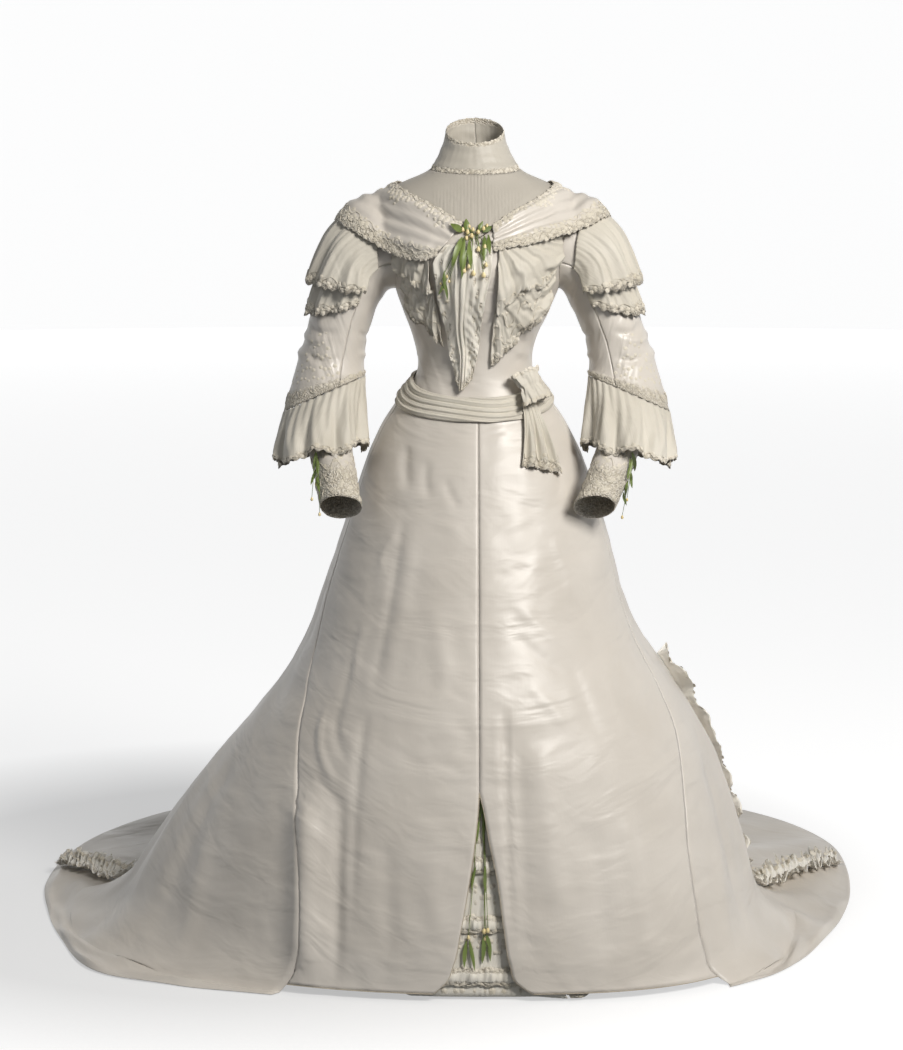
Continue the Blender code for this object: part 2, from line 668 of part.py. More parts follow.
def bodice():
    """Front and back of the bodice, with armholes in their side edges, and the yoke above."""
    low = ARMHOLE_MIDDLE - ARMHOLE_HALF
    turns = np.radians(np.linspace(180, 0, 9))
    levels = ARMHOLE_MIDDLE + ARMHOLE_HALF * np.cos(turns)
    share = np.concatenate([(levels - low) / (SHOULDER_TOP - low), [1.0]])
    notch = np.concatenate([ARMHOLE_WIDTH * np.sin(turns), [0.0]])
    lower = np.array([0, 0.11, 0.24, 0.42, 0.70])

    def panel(across, front):
        """Rows of angles and heights for columns from 0 to 1 of a quarter or a half."""
        across = across[None, :]
        edge = 90 - notch if front else 90 + notch
        inside = 0.0 if front else 180.0
        upper_angle = inside + (edge[:, None] - inside) * np.abs(across)
        lower_angle = inside + (90 - inside) * np.abs(across) + 0 * lower[:, None]
        angle = np.concatenate([lower_angle, upper_angle]) * np.where(across < 0, -1, 1)
        start = waist(angle[:5])
        h_low = start + (low - start) * lower[:, None]
        h_up = low + share[:, None] * (neckline(angle[5:]) - low)
        return angle, np.concatenate([h_low, h_up])

    def built(name, angle, height, **gaps):
        outer = on_body(angle, height, np.zeros(angle.shape))
        inner = on_body(angle, height, np.full(angle.shape, -SATIN))
        wall(name, SATIN_LOOK, *narrowed(outer, inner, **gaps))

    angle, height = panel(np.linspace(-1, 1, 13), True)
    built("bodice_front", angle, height, left=SEAM / 2, right=SEAM / 2, bottom=NECK_GAP)
    for side, name in ((-1, "left"), (1, "right")):
        angle, height = panel(np.linspace(0, 1, 7), False)
        gaps = dict(left=SEAM / 2, right=SEAM / 2, bottom=NECK_GAP)
        built(f"bodice_back_{name}", side * angle, height, **gaps)

    def yoke(name, angles, tucks):
        angle, share = grid(angles, [0, 0.5, 1])
        start = neckline(180 - np.abs(180 - np.abs(angle)))
        height = start + (collar_base(angle) - start) * share
        rise = np.zeros(angle.shape)
        if tucks:
            rise[:, 3:-2:2] = PINTUCK_RISE * (1 - 0.5 * share[:, 3:-2:2])
        outer = on_body(angle, height, rise)
        inner = on_body(angle, height, np.full(angle.shape, -SHEER))
        gaps = dict(left=SEAM / 2, right=SEAM / 2, top=SEAM / 2, bottom=SEAM)
        wall(name, SHEER_LOOK, *narrowed(outer, inner, **gaps))

    tucked = np.linspace(-PINTUCK_SPAN, PINTUCK_SPAN, 2 * PINTUCKS + 1)
    yoke("yoke_front", [-90, -78, *tucked, 78, 90], True)
    yoke("yoke_back", np.linspace(90, 270, 17), False)

    angle, share = grid(np.linspace(-179.8, 179.8, 23), np.linspace(0, 1, 2 * COLLAR_BANDS + 1))
    p, n = collar(angle, share), normals(collar, angle, share, 0.5, 0.01)
    rise = np.where(np.arange(2 * COLLAR_BANDS + 1)[:, None] % 2 == 1, COLLAR_BAND_RISE, 0)
    wall("collar", LACE_LOOK, p + n * rise[..., None], p - n * SHEER)


def sleeves():
    """Top and under sleeve, the narrow lower sleeve and the elbow frill."""
    for side, name in ((-1, "left"), (1, "right")):
        rows = [0, 0.07, 0.15, 0.26, 0.38, 0.55, 0.72, 0.87, 1.0]
        for part, first, last, count in (("top", -112.5, 112.5, 11), ("under", 112.5, 247.5, 7)):
            turn, along = grid(np.linspace(first, last, count), rows)
            outer = sleeve(side, turn, along)
            inner = outer - round_normals(sleeve, side, turn, along) * SHEER
            outer, inner = narrowed(outer, inner, left=SEAM / 2, right=SEAM / 2)
            wall(f"sleeve_{part}_{name}", SATIN_LOOK, outer, inner)
        turn, along = grid(np.arange(0, 360, 360 / 14), [0, 0.12, 0.28, 0.48, 0.70, 1.0])
        outer = cuff_tube(side, turn, along)
        inner = outer - round_normals(cuff_tube, side, turn, along) * SHEER
        wall(f"cuff_{name}", LACE_LOOK, outer, inner, closed=True)
        waves = 9
        turn, along = grid(np.arange(0, 360, 360 / (4 * waves)), [0, 0.30, 0.65, 1.0])
        n = round_normals(frill_tube, side, turn, along)
        wave = np.sin(np.radians(turn * waves)) * 0.0062 * ease(along * 1.2)
        outer = frill_tube(side, turn, along) + n * wave[..., None]
        outer[..., 2] += np.where(along == 1, 0.008 * np.sin(np.radians(turn * 5 + 40)), 0)
        wall(f"elbow_frill_{name}", CHIFFON_LOOK, outer, outer - n * CHIFFON, closed=True)


def caps():
    """Two tiers of flounce over each upper arm."""
    for side, name in ((-1, "left"), (1, "right")):
        cols = np.linspace(-120, 112, 4 * CAP_WAVES + 1)
        for tier in CAP_TIERS:
            turn, share = grid(cols, [0, 0.28, 0.62, 1.0])
            top = read(CAPS, "turn", f"top_{tier.place}", turn)
            bottom = read(CAPS, "turn", f"bottom_{tier.place}", turn)
            along = top + (bottom - top) * share
            n = round_normals(sleeve, side, turn, along)
            wave = np.sin(np.radians((turn + 120) * 360 / 232 * CAP_WAVES))
            off = tier.start + (tier.lift - tier.start) * ease(share * 0.9 + 0.05)
            off = off + wave * tier.wave * ease(share * 1.15)
            outer = sleeve(side, turn, along) + n * off[..., None]
            wall(f"{tier.node}_{name}", CHIFFON_LOOK, outer, outer - n * CHIFFON)


def chest():
    """Gathered flounces on the chest, the centre jabot, and the bertha over their upper edges."""
    for side, name, start in ((-1, "left", FLOUNCE_START_LEFT), (1, "right", FLOUNCE[0].angle)):
        end = FLOUNCE[-1].angle
        angle, share = grid(np.linspace(start, end, 4 * FLOUNCE_WAVES + 1), [0, 0.22, 0.48, 0.75, 1.0])
        top, bottom = read(FLOUNCE, "angle", "top", angle), read(FLOUNCE, "angle", "bottom", angle)
        height = top + (bottom - top) * share
        phase = (angle - start) / (end - start)
        wave = np.sin(2 * math.pi * FLOUNCE_WAVES * phase) * FLOUNCE_WAVE * ease(share * 1.3)
        off = SEWN + CHIFFON + (FLOUNCE_LIFT - SEWN) * ease(share * 1.2) + wave
        n = body_normals(side * angle, height)
        inner = laid_on(on_body(side * angle, height, off - CHIFFON), n, trees("bodice_front"), SEWN)
        wall(f"chest_flounce_{name}", CHIFFON_LOOK, inner + n * CHIFFON, inner)

    across, height = grid(np.linspace(0, 1, 4 * JABOT_FOLDS + 1), np.linspace(1.240, 0.988, 8))
    start, end = read(JABOT, "height", "start", height), read(JABOT, "height", "end", height)
    angle = start + (end - start) * across
    point = 0.030 * np.clip((np.abs(angle - JABOT_POINT) - 1) / 9, 0, 1) * ease((1.08 - height) / 0.09)
    wave = np.sin(2 * math.pi * JABOT_FOLDS * across) * JABOT_WAVE * ease((1.26 - height) / 0.06)
    off = SEWN + CHIFFON + JABOT_LIFT * ease((1.25 - height) / 0.05 + 0.2) + wave
    n = body_normals(angle, height + point)
    inner = laid_on(on_body(angle, height + point, off - CHIFFON), n, trees("bodice_front"), SEWN)
    wall("jabot", CHIFFON_LOOK, inner + n * CHIFFON, inner)

    for side, name in ((-1, "left"), (1, "right")):
        s, r = grid(np.linspace(0, 1, 17), np.linspace(0, 1, 5))
        row = np.linspace(0, 1, len(BERTHA))
        angle = side * curve(row, [b.angle for b in BERTHA], s)
        top = on_body(angle, neckline(angle) + 0.004, np.full(s.shape, 0.0012))
        keys = (f"{name}_x", "y", f"{name}_height")
        end = [curve(row, [getattr(b, key) for b in BERTHA], s) for key in keys]
        end = np.stack([side * end[0], end[1], end[2]], axis=-1)
        p = top * (1 - r[..., None]) + end * r[..., None]
        line = p - np.array([side * BERTHA_FOCUS[0], BERTHA_FOCUS[1], BERTHA_FOCUS[2]])
        line /= np.linalg.norm(line, axis=-1, keepdims=True)
        backs = [f"{n}_{name}" for n in ("bodice_back", "sleeve_top", "sleeve_under", "cap_frill")]
        fronts = [f"{n}_{name}" for n in ("cap_flounce", "chest_flounce")]
        found = trees("bodice_front", "yoke_front", "yoke_back", "jabot", *backs, *fronts)
        p = laid_on(p, line, found, BERTHA_GAP)
        p = p + line * np.array(BERTHA_FOLDS)[:, None, None]
        wall(f"bertha_{name}", LACE_LOOK, p + line * SATIN, p)


def sash():
    """The pleated sash with its knot and hanging tail."""
    rows = np.linspace(-1, 1, 2 * SASH_PLEATS + 1)
    angle, share = grid(np.arange(-180, 180, 15), rows)
    height = SASH_MIDDLE - SASH_TILT * np.cos(np.radians(angle)) + SASH_HALF * share
    off = np.full(angle.shape, SASH_LIFT)
    off[1::2] += SASH_PLEAT
    off[0] = off[-1] = SASH_EDGE
    outer = on_body(angle, height, off)
    wall("sash", CHIFFON_LOOK, outer, on_body(angle, height, off - CHIFFON), closed=True)

    across, share = grid(np.linspace(-1, 1, 13), np.linspace(0, 1, 6))
    height = 0.972 - 0.114 * share - 0.008 * across * share
    angle = 40.0 - 5.5 * share + across * (6.0 + 5.5 * share)
    wave = np.sin(across * math.pi * 3.0) * (0.0030 + 0.0034 * share)
    off = 0.0084 - 0.0020 * ease(share * 2 - 0.5) + wave * ease(share * 2 - 0.4) + CHIFFON
    outer = on_body(angle, height, off)
    wall("sash_tail", CHIFFON_LOOK, outer, on_body(angle, height, off - CHIFFON))

    knot = np.array(KNOT_ANGLE)
    middle = body(knot, np.array(KNOT_HEIGHT))
    n = body_normals(knot, np.array(KNOT_HEIGHT))
    up = body(knot, np.array(KNOT_HEIGHT + 0.024)) - body(knot, np.array(KNOT_HEIGHT - 0.024))
    up /= np.linalg.norm(up)
    side = np.cross(up, n)
    side /= np.linalg.norm(side)
    turn, along = grid(np.arange(0, 360, 30), [-1, -0.5, 0, 0.5, 1])
    t = np.radians(turn)
    size = (1 + 0.22 * along**2) * (1 + 0.08 * np.cos(5 * t) * np.abs(along))

    def loop(shrink):
        out = (KNOT_DEEP * size - shrink) * np.cos(t) + KNOT_OUT
        flat = (KNOT_WIDE * size - shrink) * np.sin(t)
        tall = KNOT_TALL * along
        return middle + out[..., None] * n + flat[..., None] * side + tall[..., None] * up

    around = np.concatenate([loop(0), loop(0)[:, :1]], axis=1)
    shift = seat_shift(around, n, trees("sash", "sash_tail", "bodice_front", "skirt_front_right"))
    wall("sash_knot", CHIFFON_LOOK, loop(0) + shift, loop(KNOT_WALL) + shift, closed=True)


def inset():
    """The panel behind the slit, its ruched tiers and the lace strip of the hem."""

    def at(angle, height, off):
        p = on_body(angle, height, off)
        p[..., 2] = height + SATIN * np.clip(1 - height / 0.3, 0, 1)
        return p

    def depth(angle, height):
        across = np.clip(1 - (np.abs(angle) / INSET_ANGLE) ** 2, 0, 1)
        return -SATIN - INSET_DEPTH * ease(across * 1.6) * ease((INSET_TOP - height) / 0.10)

    fronts = trees("skirt_front_left", "skirt_front_right")
    columns = np.linspace(-INSET_ANGLE, INSET_ANGLE, 11)
    angle, height = grid(columns, [0.003, 0.06, 0.13, 0.23, 0.34, INSET_TOP])
    n = level_normals(angle, height)
    outer = laid_on(at(angle, height, depth(angle, height)), -n, fronts, SEWN, 0.05)
    wall("underskirt_front", CHIFFON_LOOK, outer, outer - n * CHIFFON)
    for i, tier in enumerate(TIERS):
        a, share = grid(np.linspace(-tier.half_angle, tier.half_angle, 21), [0, 0.5, 1])
        h = tier.height - tier.drop * share
        n = level_normals(a, h)
        back = laid_on(at(a, h, depth(a, h) - 0.005), n, trees("underskirt_front"), SEWN, 0.05)
        wave = np.sin(np.linspace(0, 2 * math.pi * TIER_WAVES, 21))[None, :]
        puff = np.sin(math.pi * share) * (TIER_PUFF + TIER_WAVE * wave)
        back = back + n * puff[..., None]
        wall(f"slit_tier_{i + 1}", CHIFFON_LOOK, back + n * CHIFFON, back)
    a, h = grid(np.linspace(INSET_ANGLE + 0.50, 38, 12), [0.003, 0.025, 0.048])
    n = level_normals(a, h)
    outer = laid_on(at(a, h, -SATIN - 0.004 * (1 - h / 0.048)), -n, fronts, SEWN, 0.05)
    wall("underskirt_hem", LACE_LOOK, outer, outer - n * CHIFFON)


def garlands():
    """A ruffle down the side back of the skirt and across the train, sewn along its middle."""
    for side, name in ((-1, "left"), (1, "right")):
        on_skirt = np.linspace(GARLAND[0].along, 0.965, 19)
        on_floor = np.linspace(1.045, GARLAND[-1].along, 15)
        across, down = grid([-1, -0.4, 0.4, 1], np.concatenate([on_skirt, on_floor]))
        angle = read(GARLAND, "along", name, down)
        half = read(GARLAND, "along", "half", down)
        degree = np.linalg.norm(skirt(side * (angle + 1), down) - skirt(side * angle, down), axis=-1)
        angle = side * (angle + across * half / np.maximum(degree, 1e-4))
        steps = np.arange(down.shape[0])[:, None]
        wave = np.sin(steps * math.pi / 2 + np.where(across > 0, 0, math.pi / 2))
        low = 1 - 0.6 * np.exp(-(((down - 1) / 0.06) ** 2))
        lift = GARLAND_LIFT * low * np.clip(np.abs(across) - 0.4, 0, 1) * (1.1 + 0.6 * wave)
        n = skirt_normals(angle, down)
        level = ease((down - 0.92) / 0.16)[..., None]
        n = n * (1 - level) + np.array([0, 0, 1.0]) * level
        n /= np.linalg.norm(n, axis=-1, keepdims=True)
        found = trees(f"skirt_side_{name}", f"skirt_back_{name}")
        back = laid_on(skirt(angle, down) - n * 0.008, n, found, SEWN, 0.03) + n * lift[..., None]
        wall(f"train_ruffle_{name}", CHIFFON_LOOK, back + n * CHIFFON, back)


def sprig(name, stem, leaves, found):
    """A spray seen from the front: a stem whose edges run out into leaf tips, seated on the solids."""
    stem = np.array(stem, float)
    size = np.concatenate([[0], np.cumsum(np.linalg.norm(np.diff(stem, axis=0), axis=1))])

    def at(t):
        return np.array([np.interp(t * size[-1], size, stem[:, k]) for k in range(2)])

    rows = []
    for t, left, right, droop in leaves:
        d = at(min(t + 0.03, 1)) - at(max(t - 0.03, 0))
        d /= np.linalg.norm(d)
        out = np.array([-d[1], d[0]])
        rows.append([at(t) - out * left + d * droop, at(t), at(t) + out * right + d * droop])
    points = np.zeros((len(rows), 3, 3))
    for i, row in enumerate(rows):
        near = 1.0
        for x, z in row:
            for tree in found:
                for dx, dz in AROUND:
                    hit = tree.ray_cast(Vector((x + dx, -2, z + dz)), Vector((0, 1, 0)))
                    if hit[0] is not None:
                        near = min(near, hit[0].y)
        for j, (x, z) in enumerate(row):
            points[i, j] = (x, near, z)
    y = points[:, 0, 1].copy()
    known = y < 1
    y[~known] = np.interp(np.flatnonzero(~known), np.flatnonzero(known), y[known])
    held = np.pad(y, 1, mode="edge")
    held = np.minimum(y, np.minimum(held[:-2], held[2:]))
    eased = np.pad(held, 1, mode="edge")
    points[..., 1] = np.minimum(held, (eased[:-2] + eased[2:]) / 2)[:, None] - 0.004
    points += seat_shift(points, (0, -1, 0), found)
    front = points.copy()
    front[..., 1] -= LEAF
    front[:, 1, 1] -= LEAF_RIB
    wall(name, LEAF_LOOK, front, points)


def leaf_rows(count, wide, droop):
    """Rows of a spray: leaf bases and leaf tips in turn, the pairs growing smaller to the end."""
    rows = [(0.0, 0.003, 0.003, 0.0)]
    for i in range(count):
        t = (i + 0.35) / count
        size = wide * (1 - 0.45 * i / count)
        rows.append((t, size, size * 0.86, droop))
        rows.append((t + 0.5 / count, 0.0022, 0.0022, 0.0))
    rows[-1] = (1.0, 0.0012, 0.0012, 0.0)
    return rows


def sprays():
    """Sprays of leaves on the bodice, under the elbow frills and at the slit."""
    chest_pieces = ("jabot", "bertha_left", "bertha_right", "chest_flounce_left")
    found = trees("bodice_front", "yoke_front", *chest_pieces)
    sprig("spray_bodice", SPRAY_BODICE, leaf_rows(5, 0.020, 0.006), found)
    for name, stem in (("left", SPRAY_LEFT), ("right", SPRAY_RIGHT)):
        found = trees(f"elbow_frill_{name}", f"cuff_{name}")
        sprig(f"spray_sleeve_{name}", stem, leaf_rows(4, 0.009, 0.006), found)
    tiers = [f"slit_tier_{i + 1}" for i in range(len(TIERS))]
    found = trees("underskirt_front", "skirt_front_left", "skirt_front_right", *tiers)
    sprig("spray_slit", SPRAY_SLIT, leaf_rows(7, 0.013, 0.009), found)


def main():
    for old in list(bpy.data.objects):
        bpy.data.objects.remove(old, do_unlink=True)
    SOLIDS.clear()
    gores()
    bodice()
    sleeves()
    caps()
    chest()
    sash()
    inset()
    garlands()
    sprays()


main()
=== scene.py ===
"""Wedding dress of ivory satin, chiffon and lace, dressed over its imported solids.

The surfaces follow the same tables as the solids, finely sampled, with creases, gathers, lace
edges and flowers. Lengths are metres; heights are above the floor until a mesh is made.
"""

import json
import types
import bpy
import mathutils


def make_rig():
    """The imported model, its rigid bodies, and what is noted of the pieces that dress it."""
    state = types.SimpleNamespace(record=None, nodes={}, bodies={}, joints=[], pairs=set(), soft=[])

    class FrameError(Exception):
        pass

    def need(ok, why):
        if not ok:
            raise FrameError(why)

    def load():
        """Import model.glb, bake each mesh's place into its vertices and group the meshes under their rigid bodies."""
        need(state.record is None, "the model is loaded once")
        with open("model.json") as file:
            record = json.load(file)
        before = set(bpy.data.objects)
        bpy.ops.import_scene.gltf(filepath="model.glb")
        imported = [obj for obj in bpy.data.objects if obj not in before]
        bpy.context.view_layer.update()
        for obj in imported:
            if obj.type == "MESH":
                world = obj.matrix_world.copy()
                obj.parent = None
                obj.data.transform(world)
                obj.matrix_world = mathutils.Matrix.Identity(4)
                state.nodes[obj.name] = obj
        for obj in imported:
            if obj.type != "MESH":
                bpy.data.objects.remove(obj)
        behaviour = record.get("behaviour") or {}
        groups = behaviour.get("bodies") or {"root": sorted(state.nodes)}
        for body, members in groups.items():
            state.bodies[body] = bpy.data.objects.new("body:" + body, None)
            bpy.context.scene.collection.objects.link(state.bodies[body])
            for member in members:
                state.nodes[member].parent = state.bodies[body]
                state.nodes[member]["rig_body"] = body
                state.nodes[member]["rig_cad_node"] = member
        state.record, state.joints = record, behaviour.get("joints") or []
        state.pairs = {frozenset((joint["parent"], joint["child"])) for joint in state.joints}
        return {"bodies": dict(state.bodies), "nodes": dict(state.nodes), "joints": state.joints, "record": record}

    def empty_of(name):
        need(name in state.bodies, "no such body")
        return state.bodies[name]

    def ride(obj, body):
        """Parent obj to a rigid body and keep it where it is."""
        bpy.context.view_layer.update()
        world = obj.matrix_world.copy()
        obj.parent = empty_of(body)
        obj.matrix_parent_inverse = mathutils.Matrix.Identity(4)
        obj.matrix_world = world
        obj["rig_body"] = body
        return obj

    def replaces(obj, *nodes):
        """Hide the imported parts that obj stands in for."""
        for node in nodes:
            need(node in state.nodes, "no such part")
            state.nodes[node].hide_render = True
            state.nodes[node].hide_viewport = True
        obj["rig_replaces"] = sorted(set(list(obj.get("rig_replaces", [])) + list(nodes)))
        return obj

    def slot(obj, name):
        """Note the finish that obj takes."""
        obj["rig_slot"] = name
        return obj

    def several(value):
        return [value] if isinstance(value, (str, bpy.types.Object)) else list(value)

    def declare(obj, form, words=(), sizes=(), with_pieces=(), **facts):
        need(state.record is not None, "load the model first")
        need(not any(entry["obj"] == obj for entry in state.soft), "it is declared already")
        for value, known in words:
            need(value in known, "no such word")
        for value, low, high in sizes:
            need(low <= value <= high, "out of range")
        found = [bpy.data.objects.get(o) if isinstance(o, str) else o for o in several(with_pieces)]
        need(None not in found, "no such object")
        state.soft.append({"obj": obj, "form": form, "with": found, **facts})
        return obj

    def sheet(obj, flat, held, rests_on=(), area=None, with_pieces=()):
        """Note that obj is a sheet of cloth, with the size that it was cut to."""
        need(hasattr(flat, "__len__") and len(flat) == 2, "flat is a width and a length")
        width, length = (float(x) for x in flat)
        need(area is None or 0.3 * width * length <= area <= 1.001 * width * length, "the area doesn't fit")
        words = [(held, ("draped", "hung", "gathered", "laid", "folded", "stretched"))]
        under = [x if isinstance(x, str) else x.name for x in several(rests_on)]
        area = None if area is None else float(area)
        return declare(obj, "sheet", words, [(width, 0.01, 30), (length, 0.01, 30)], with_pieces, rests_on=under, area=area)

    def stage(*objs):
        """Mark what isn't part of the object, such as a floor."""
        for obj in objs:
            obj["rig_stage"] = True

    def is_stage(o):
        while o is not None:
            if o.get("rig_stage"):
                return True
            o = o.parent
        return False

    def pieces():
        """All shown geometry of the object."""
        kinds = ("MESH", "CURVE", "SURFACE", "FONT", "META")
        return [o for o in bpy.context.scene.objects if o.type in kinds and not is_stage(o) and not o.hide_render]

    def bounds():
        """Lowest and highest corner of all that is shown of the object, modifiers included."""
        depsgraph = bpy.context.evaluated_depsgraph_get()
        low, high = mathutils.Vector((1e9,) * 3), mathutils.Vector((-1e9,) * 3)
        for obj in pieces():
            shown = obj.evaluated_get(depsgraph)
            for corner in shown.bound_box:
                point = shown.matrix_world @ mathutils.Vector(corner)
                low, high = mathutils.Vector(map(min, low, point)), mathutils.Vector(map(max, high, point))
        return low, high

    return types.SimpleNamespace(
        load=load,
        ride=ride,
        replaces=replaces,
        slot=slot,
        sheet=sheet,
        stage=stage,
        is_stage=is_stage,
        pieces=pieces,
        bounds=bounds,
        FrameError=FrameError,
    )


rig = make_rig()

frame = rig.load()

import json
import math
from collections import namedtuple

import bpy
import numpy as np
from mathutils import Vector
from mathutils.bvhtree import BVHTree

CAD_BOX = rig.bounds()

WAIST_HEIGHT = 0.99
SATIN = 0.0022
CHIFFON = 0.0016
SEAM = 0.0003
SEWN = 0.0005
NECK_GAP = 0.0016

# Outline of the body and the falling skirt at each height; squareness 2 is an ellipse.
Section = namedtuple("Section", "height left right front back wide_y square_left square_right")
BODY = [
    Section(0.000, 0.735, 0.562, 0.388, 0.725, 0.122, 2.00, 2.80),
    Section(0.015, 0.698, 0.530, 0.386, 0.680, 0.120, 2.00, 2.78),
    Section(0.060, 0.642, 0.502, 0.383, 0.630, 0.115, 2.00, 2.70),
    Section(0.120, 0.603, 0.484, 0.378, 0.580, 0.108, 2.02, 2.60),
    Section(0.200, 0.553, 0.462, 0.368, 0.525, 0.095, 2.05, 2.48),
    Section(0.300, 0.482, 0.430, 0.350, 0.462, 0.075, 2.10, 2.35),
    Section(0.400, 0.402, 0.388, 0.325, 0.395, 0.050, 2.10, 2.22),
    Section(0.480, 0.338, 0.335, 0.298, 0.342, 0.030, 2.08, 2.12),
    Section(0.550, 0.300, 0.287, 0.270, 0.303, 0.016, 2.04, 2.06),
    Section(0.620, 0.277, 0.257, 0.243, 0.273, 0.006, 2.00, 2.00),
    Section(0.700, 0.249, 0.236, 0.212, 0.245, 0.000, 2.00, 2.00),
    Section(0.800, 0.215, 0.206, 0.173, 0.212, 0.000, 2.00, 2.00),
    Section(0.880, 0.188, 0.179, 0.143, 0.182, 0.000, 2.00, 2.00),
    Section(0.940, 0.158, 0.146, 0.117, 0.150, 0.000, 2.00, 2.00),
    Section(0.980, 0.130, 0.118, 0.103, 0.118, 0.000, 2.00, 2.00),
    Section(1.010, 0.108, 0.098, 0.097, 0.096, 0.000, 2.00, 2.00),
    Section(1.040, 0.104, 0.094, 0.098, 0.088, 0.000, 2.00, 2.00),
    Section(1.080, 0.113, 0.104, 0.106, 0.095, 0.000, 2.00, 2.00),
    Section(1.120, 0.128, 0.123, 0.124, 0.108, 0.000, 2.05, 2.05),
    Section(1.160, 0.141, 0.139, 0.138, 0.117, 0.000, 2.10, 2.10),
    Section(1.200, 0.153, 0.151, 0.143, 0.122, 0.000, 2.10, 2.10),
    Section(1.240, 0.162, 0.160, 0.137, 0.124, 0.000, 2.10, 2.10),
    Section(1.280, 0.172, 0.168, 0.119, 0.119, 0.000, 2.10, 2.10),
    Section(1.308, 0.172, 0.165, 0.099, 0.106, 0.000, 2.10, 2.10),
    Section(1.328, 0.159, 0.148, 0.083, 0.091, 0.000, 2.05, 2.05),
    Section(1.344, 0.128, 0.116, 0.071, 0.079, 0.000, 2.00, 2.00),
    Section(1.360, 0.091, 0.080, 0.062, 0.069, 0.000, 2.00, 2.00),
    Section(1.374, 0.073, 0.064, 0.056, 0.062, 0.000, 2.00, 2.00),
    Section(1.390, 0.069, 0.061, 0.053, 0.059, 0.000, 2.00, 2.00),
]

# Seams between the gores, as angles at each height.
Seam = namedtuple("Seam", "height front_left front_right back")
SEAMS = [
    Seam(0.00, 27, 43, 118),
    Seam(0.12, 29, 45, 118),
    Seam(0.24, 34, 48, 117),
    Seam(0.34, 42, 54, 116),
    Seam(0.44, 54, 63, 116),
    Seam(0.54, 68, 72, 116),
    Seam(0.65, 75, 77, 116),
    Seam(1.00, 76, 76, 118),
]

# Half of the front slit at each height, to either side.
Slit = namedtuple("Slit", "height left right")
SLIT = [
    Slit(0.012, 0.076, 0.088),
    Slit(0.030, 0.056, 0.062),
    Slit(0.060, 0.043, 0.051),
    Slit(0.126, 0.029, 0.040),
    Slit(0.200, 0.016, 0.030),
    Slit(0.262, 0.007, 0.017),
    Slit(0.330, 0.0006, 0.004),
    Slit(0.345, 0.0, 0.0),
]
SLIT_TOP = 0.345
SEAM_START = 0.352

# Edge of the cloth that lies on the floor, for the angles round the skirt.
Train = namedtuple("Train", "angle left_x left_y right_x right_y")
TRAIN = [
    Train(25, 0.325, -0.352, 0.300, -0.360),
    Train(43, 0.515, -0.292, 0.424, -0.303),
    Train(60, 0.668, -0.205, 0.528, -0.206),
    Train(75, 0.740, -0.030, 0.606, -0.056),
    Train(90, 0.790, 0.150, 0.672, 0.120),
    Train(105, 0.822, 0.360, 0.712, 0.310),
    Train(120, 0.803, 0.590, 0.727, 0.520),
    Train(135, 0.722, 0.800, 0.690, 0.735),
    Train(150, 0.560, 0.990, 0.556, 0.945),
    Train(165, 0.306, 1.132, 0.306, 1.115),
    Train(180, 0.000, 1.185, 0.000, 1.185),
]

# Soft pipe folds of the back and sides: where each runs, how wide and how far it stands out.
Fold = namedtuple("Fold", "angle_top angle_floor width rise start")
FOLDS = [
    Fold(168, 164, 5.5, 0.026, 0.86),
    Fold(152, 146, 5.5, 0.026, 0.84),
    Fold(136, 129, 5.5, 0.022, 0.80),
    Fold(-168, -164, 5.5, 0.026, 0.86),
    Fold(-152, -146, 5.5, 0.026, 0.84),
    Fold(-136, -129, 5.5, 0.022, 0.80),
    Fold(-84, -66, 8.0, 0.012, 0.52),
    Fold(-92, -98, 9.0, 0.010, 0.50),
    Fold(88, 82, 8.0, 0.010, 0.50),
]
FOLD_LOW = 0.86

# Where the gores start below the waist seam and where the front ones end, 1 being the floor.
GORE_TOP = 0.0012
FRONT_HEM = 0.988

# Rows and columns of points of the gores: falling, and lying on the floor.
FRONT_ROWS, FRONT_COLUMNS = 164, 56
FALLING_ROWS, LYING_ROWS = 98, 48
SIDE_COLUMNS, BACK_COLUMNS = 62, 66

# Armhole: an oval on the bodice round the side line.
ARMHOLE_MIDDLE = 1.2375
ARMHOLE_HALF = 0.0775
ARMHOLE_WIDTH = 28.0
SHOULDER_TOP = 1.336
NECKLINE_ANGLES = [0, 21, 43, 66, 90, 115, 145, 180]
NECKLINE_HEIGHTS = [1.252, 1.292, 1.317, 1.330, 1.336, 1.333, 1.318, 1.306]

# Rings of the sleeves; rise_out and rise_front tip a ring up on its outer and front side.
Ring = namedtuple("Ring", "along left right y height half_x half_y rise_out rise_front")
SLEEVE = [
    Ring(0.26, 0.209, 0.197, 0.000, 1.195, 0.046, 0.066, 0.045, 0.000),
    Ring(0.42, 0.224, 0.211, 0.001, 1.152, 0.050, 0.062, 0.021, 0.000),
    Ring(0.58, 0.238, 0.228, 0.003, 1.108, 0.0515, 0.060, 0.011, 0.000),
    Ring(0.72, 0.249, 0.243, 0.004, 1.064, 0.054, 0.061, 0.003, 0.000),
    Ring(0.86, 0.259, 0.254, 0.000, 1.020, 0.061, 0.065, -0.008, 0.002),
    Ring(1.00, 0.267, 0.263, -0.010, 0.978, 0.071, 0.071, -0.031, 0.006),
]
FRILL = [
    Ring(0.00, 0.267, 0.263, -0.010, 0.9769, 0.071, 0.071, -0.031, 0.006),
    Ring(0.30, 0.270, 0.263, -0.028, 0.949, 0.074, 0.075, -0.028, 0.008),
    Ring(0.65, 0.272, 0.262, -0.050, 0.911, 0.077, 0.080, -0.022, 0.010),
    Ring(1.00, 0.271, 0.259, -0.066, 0.879, 0.078, 0.083, -0.014, 0.012),
]
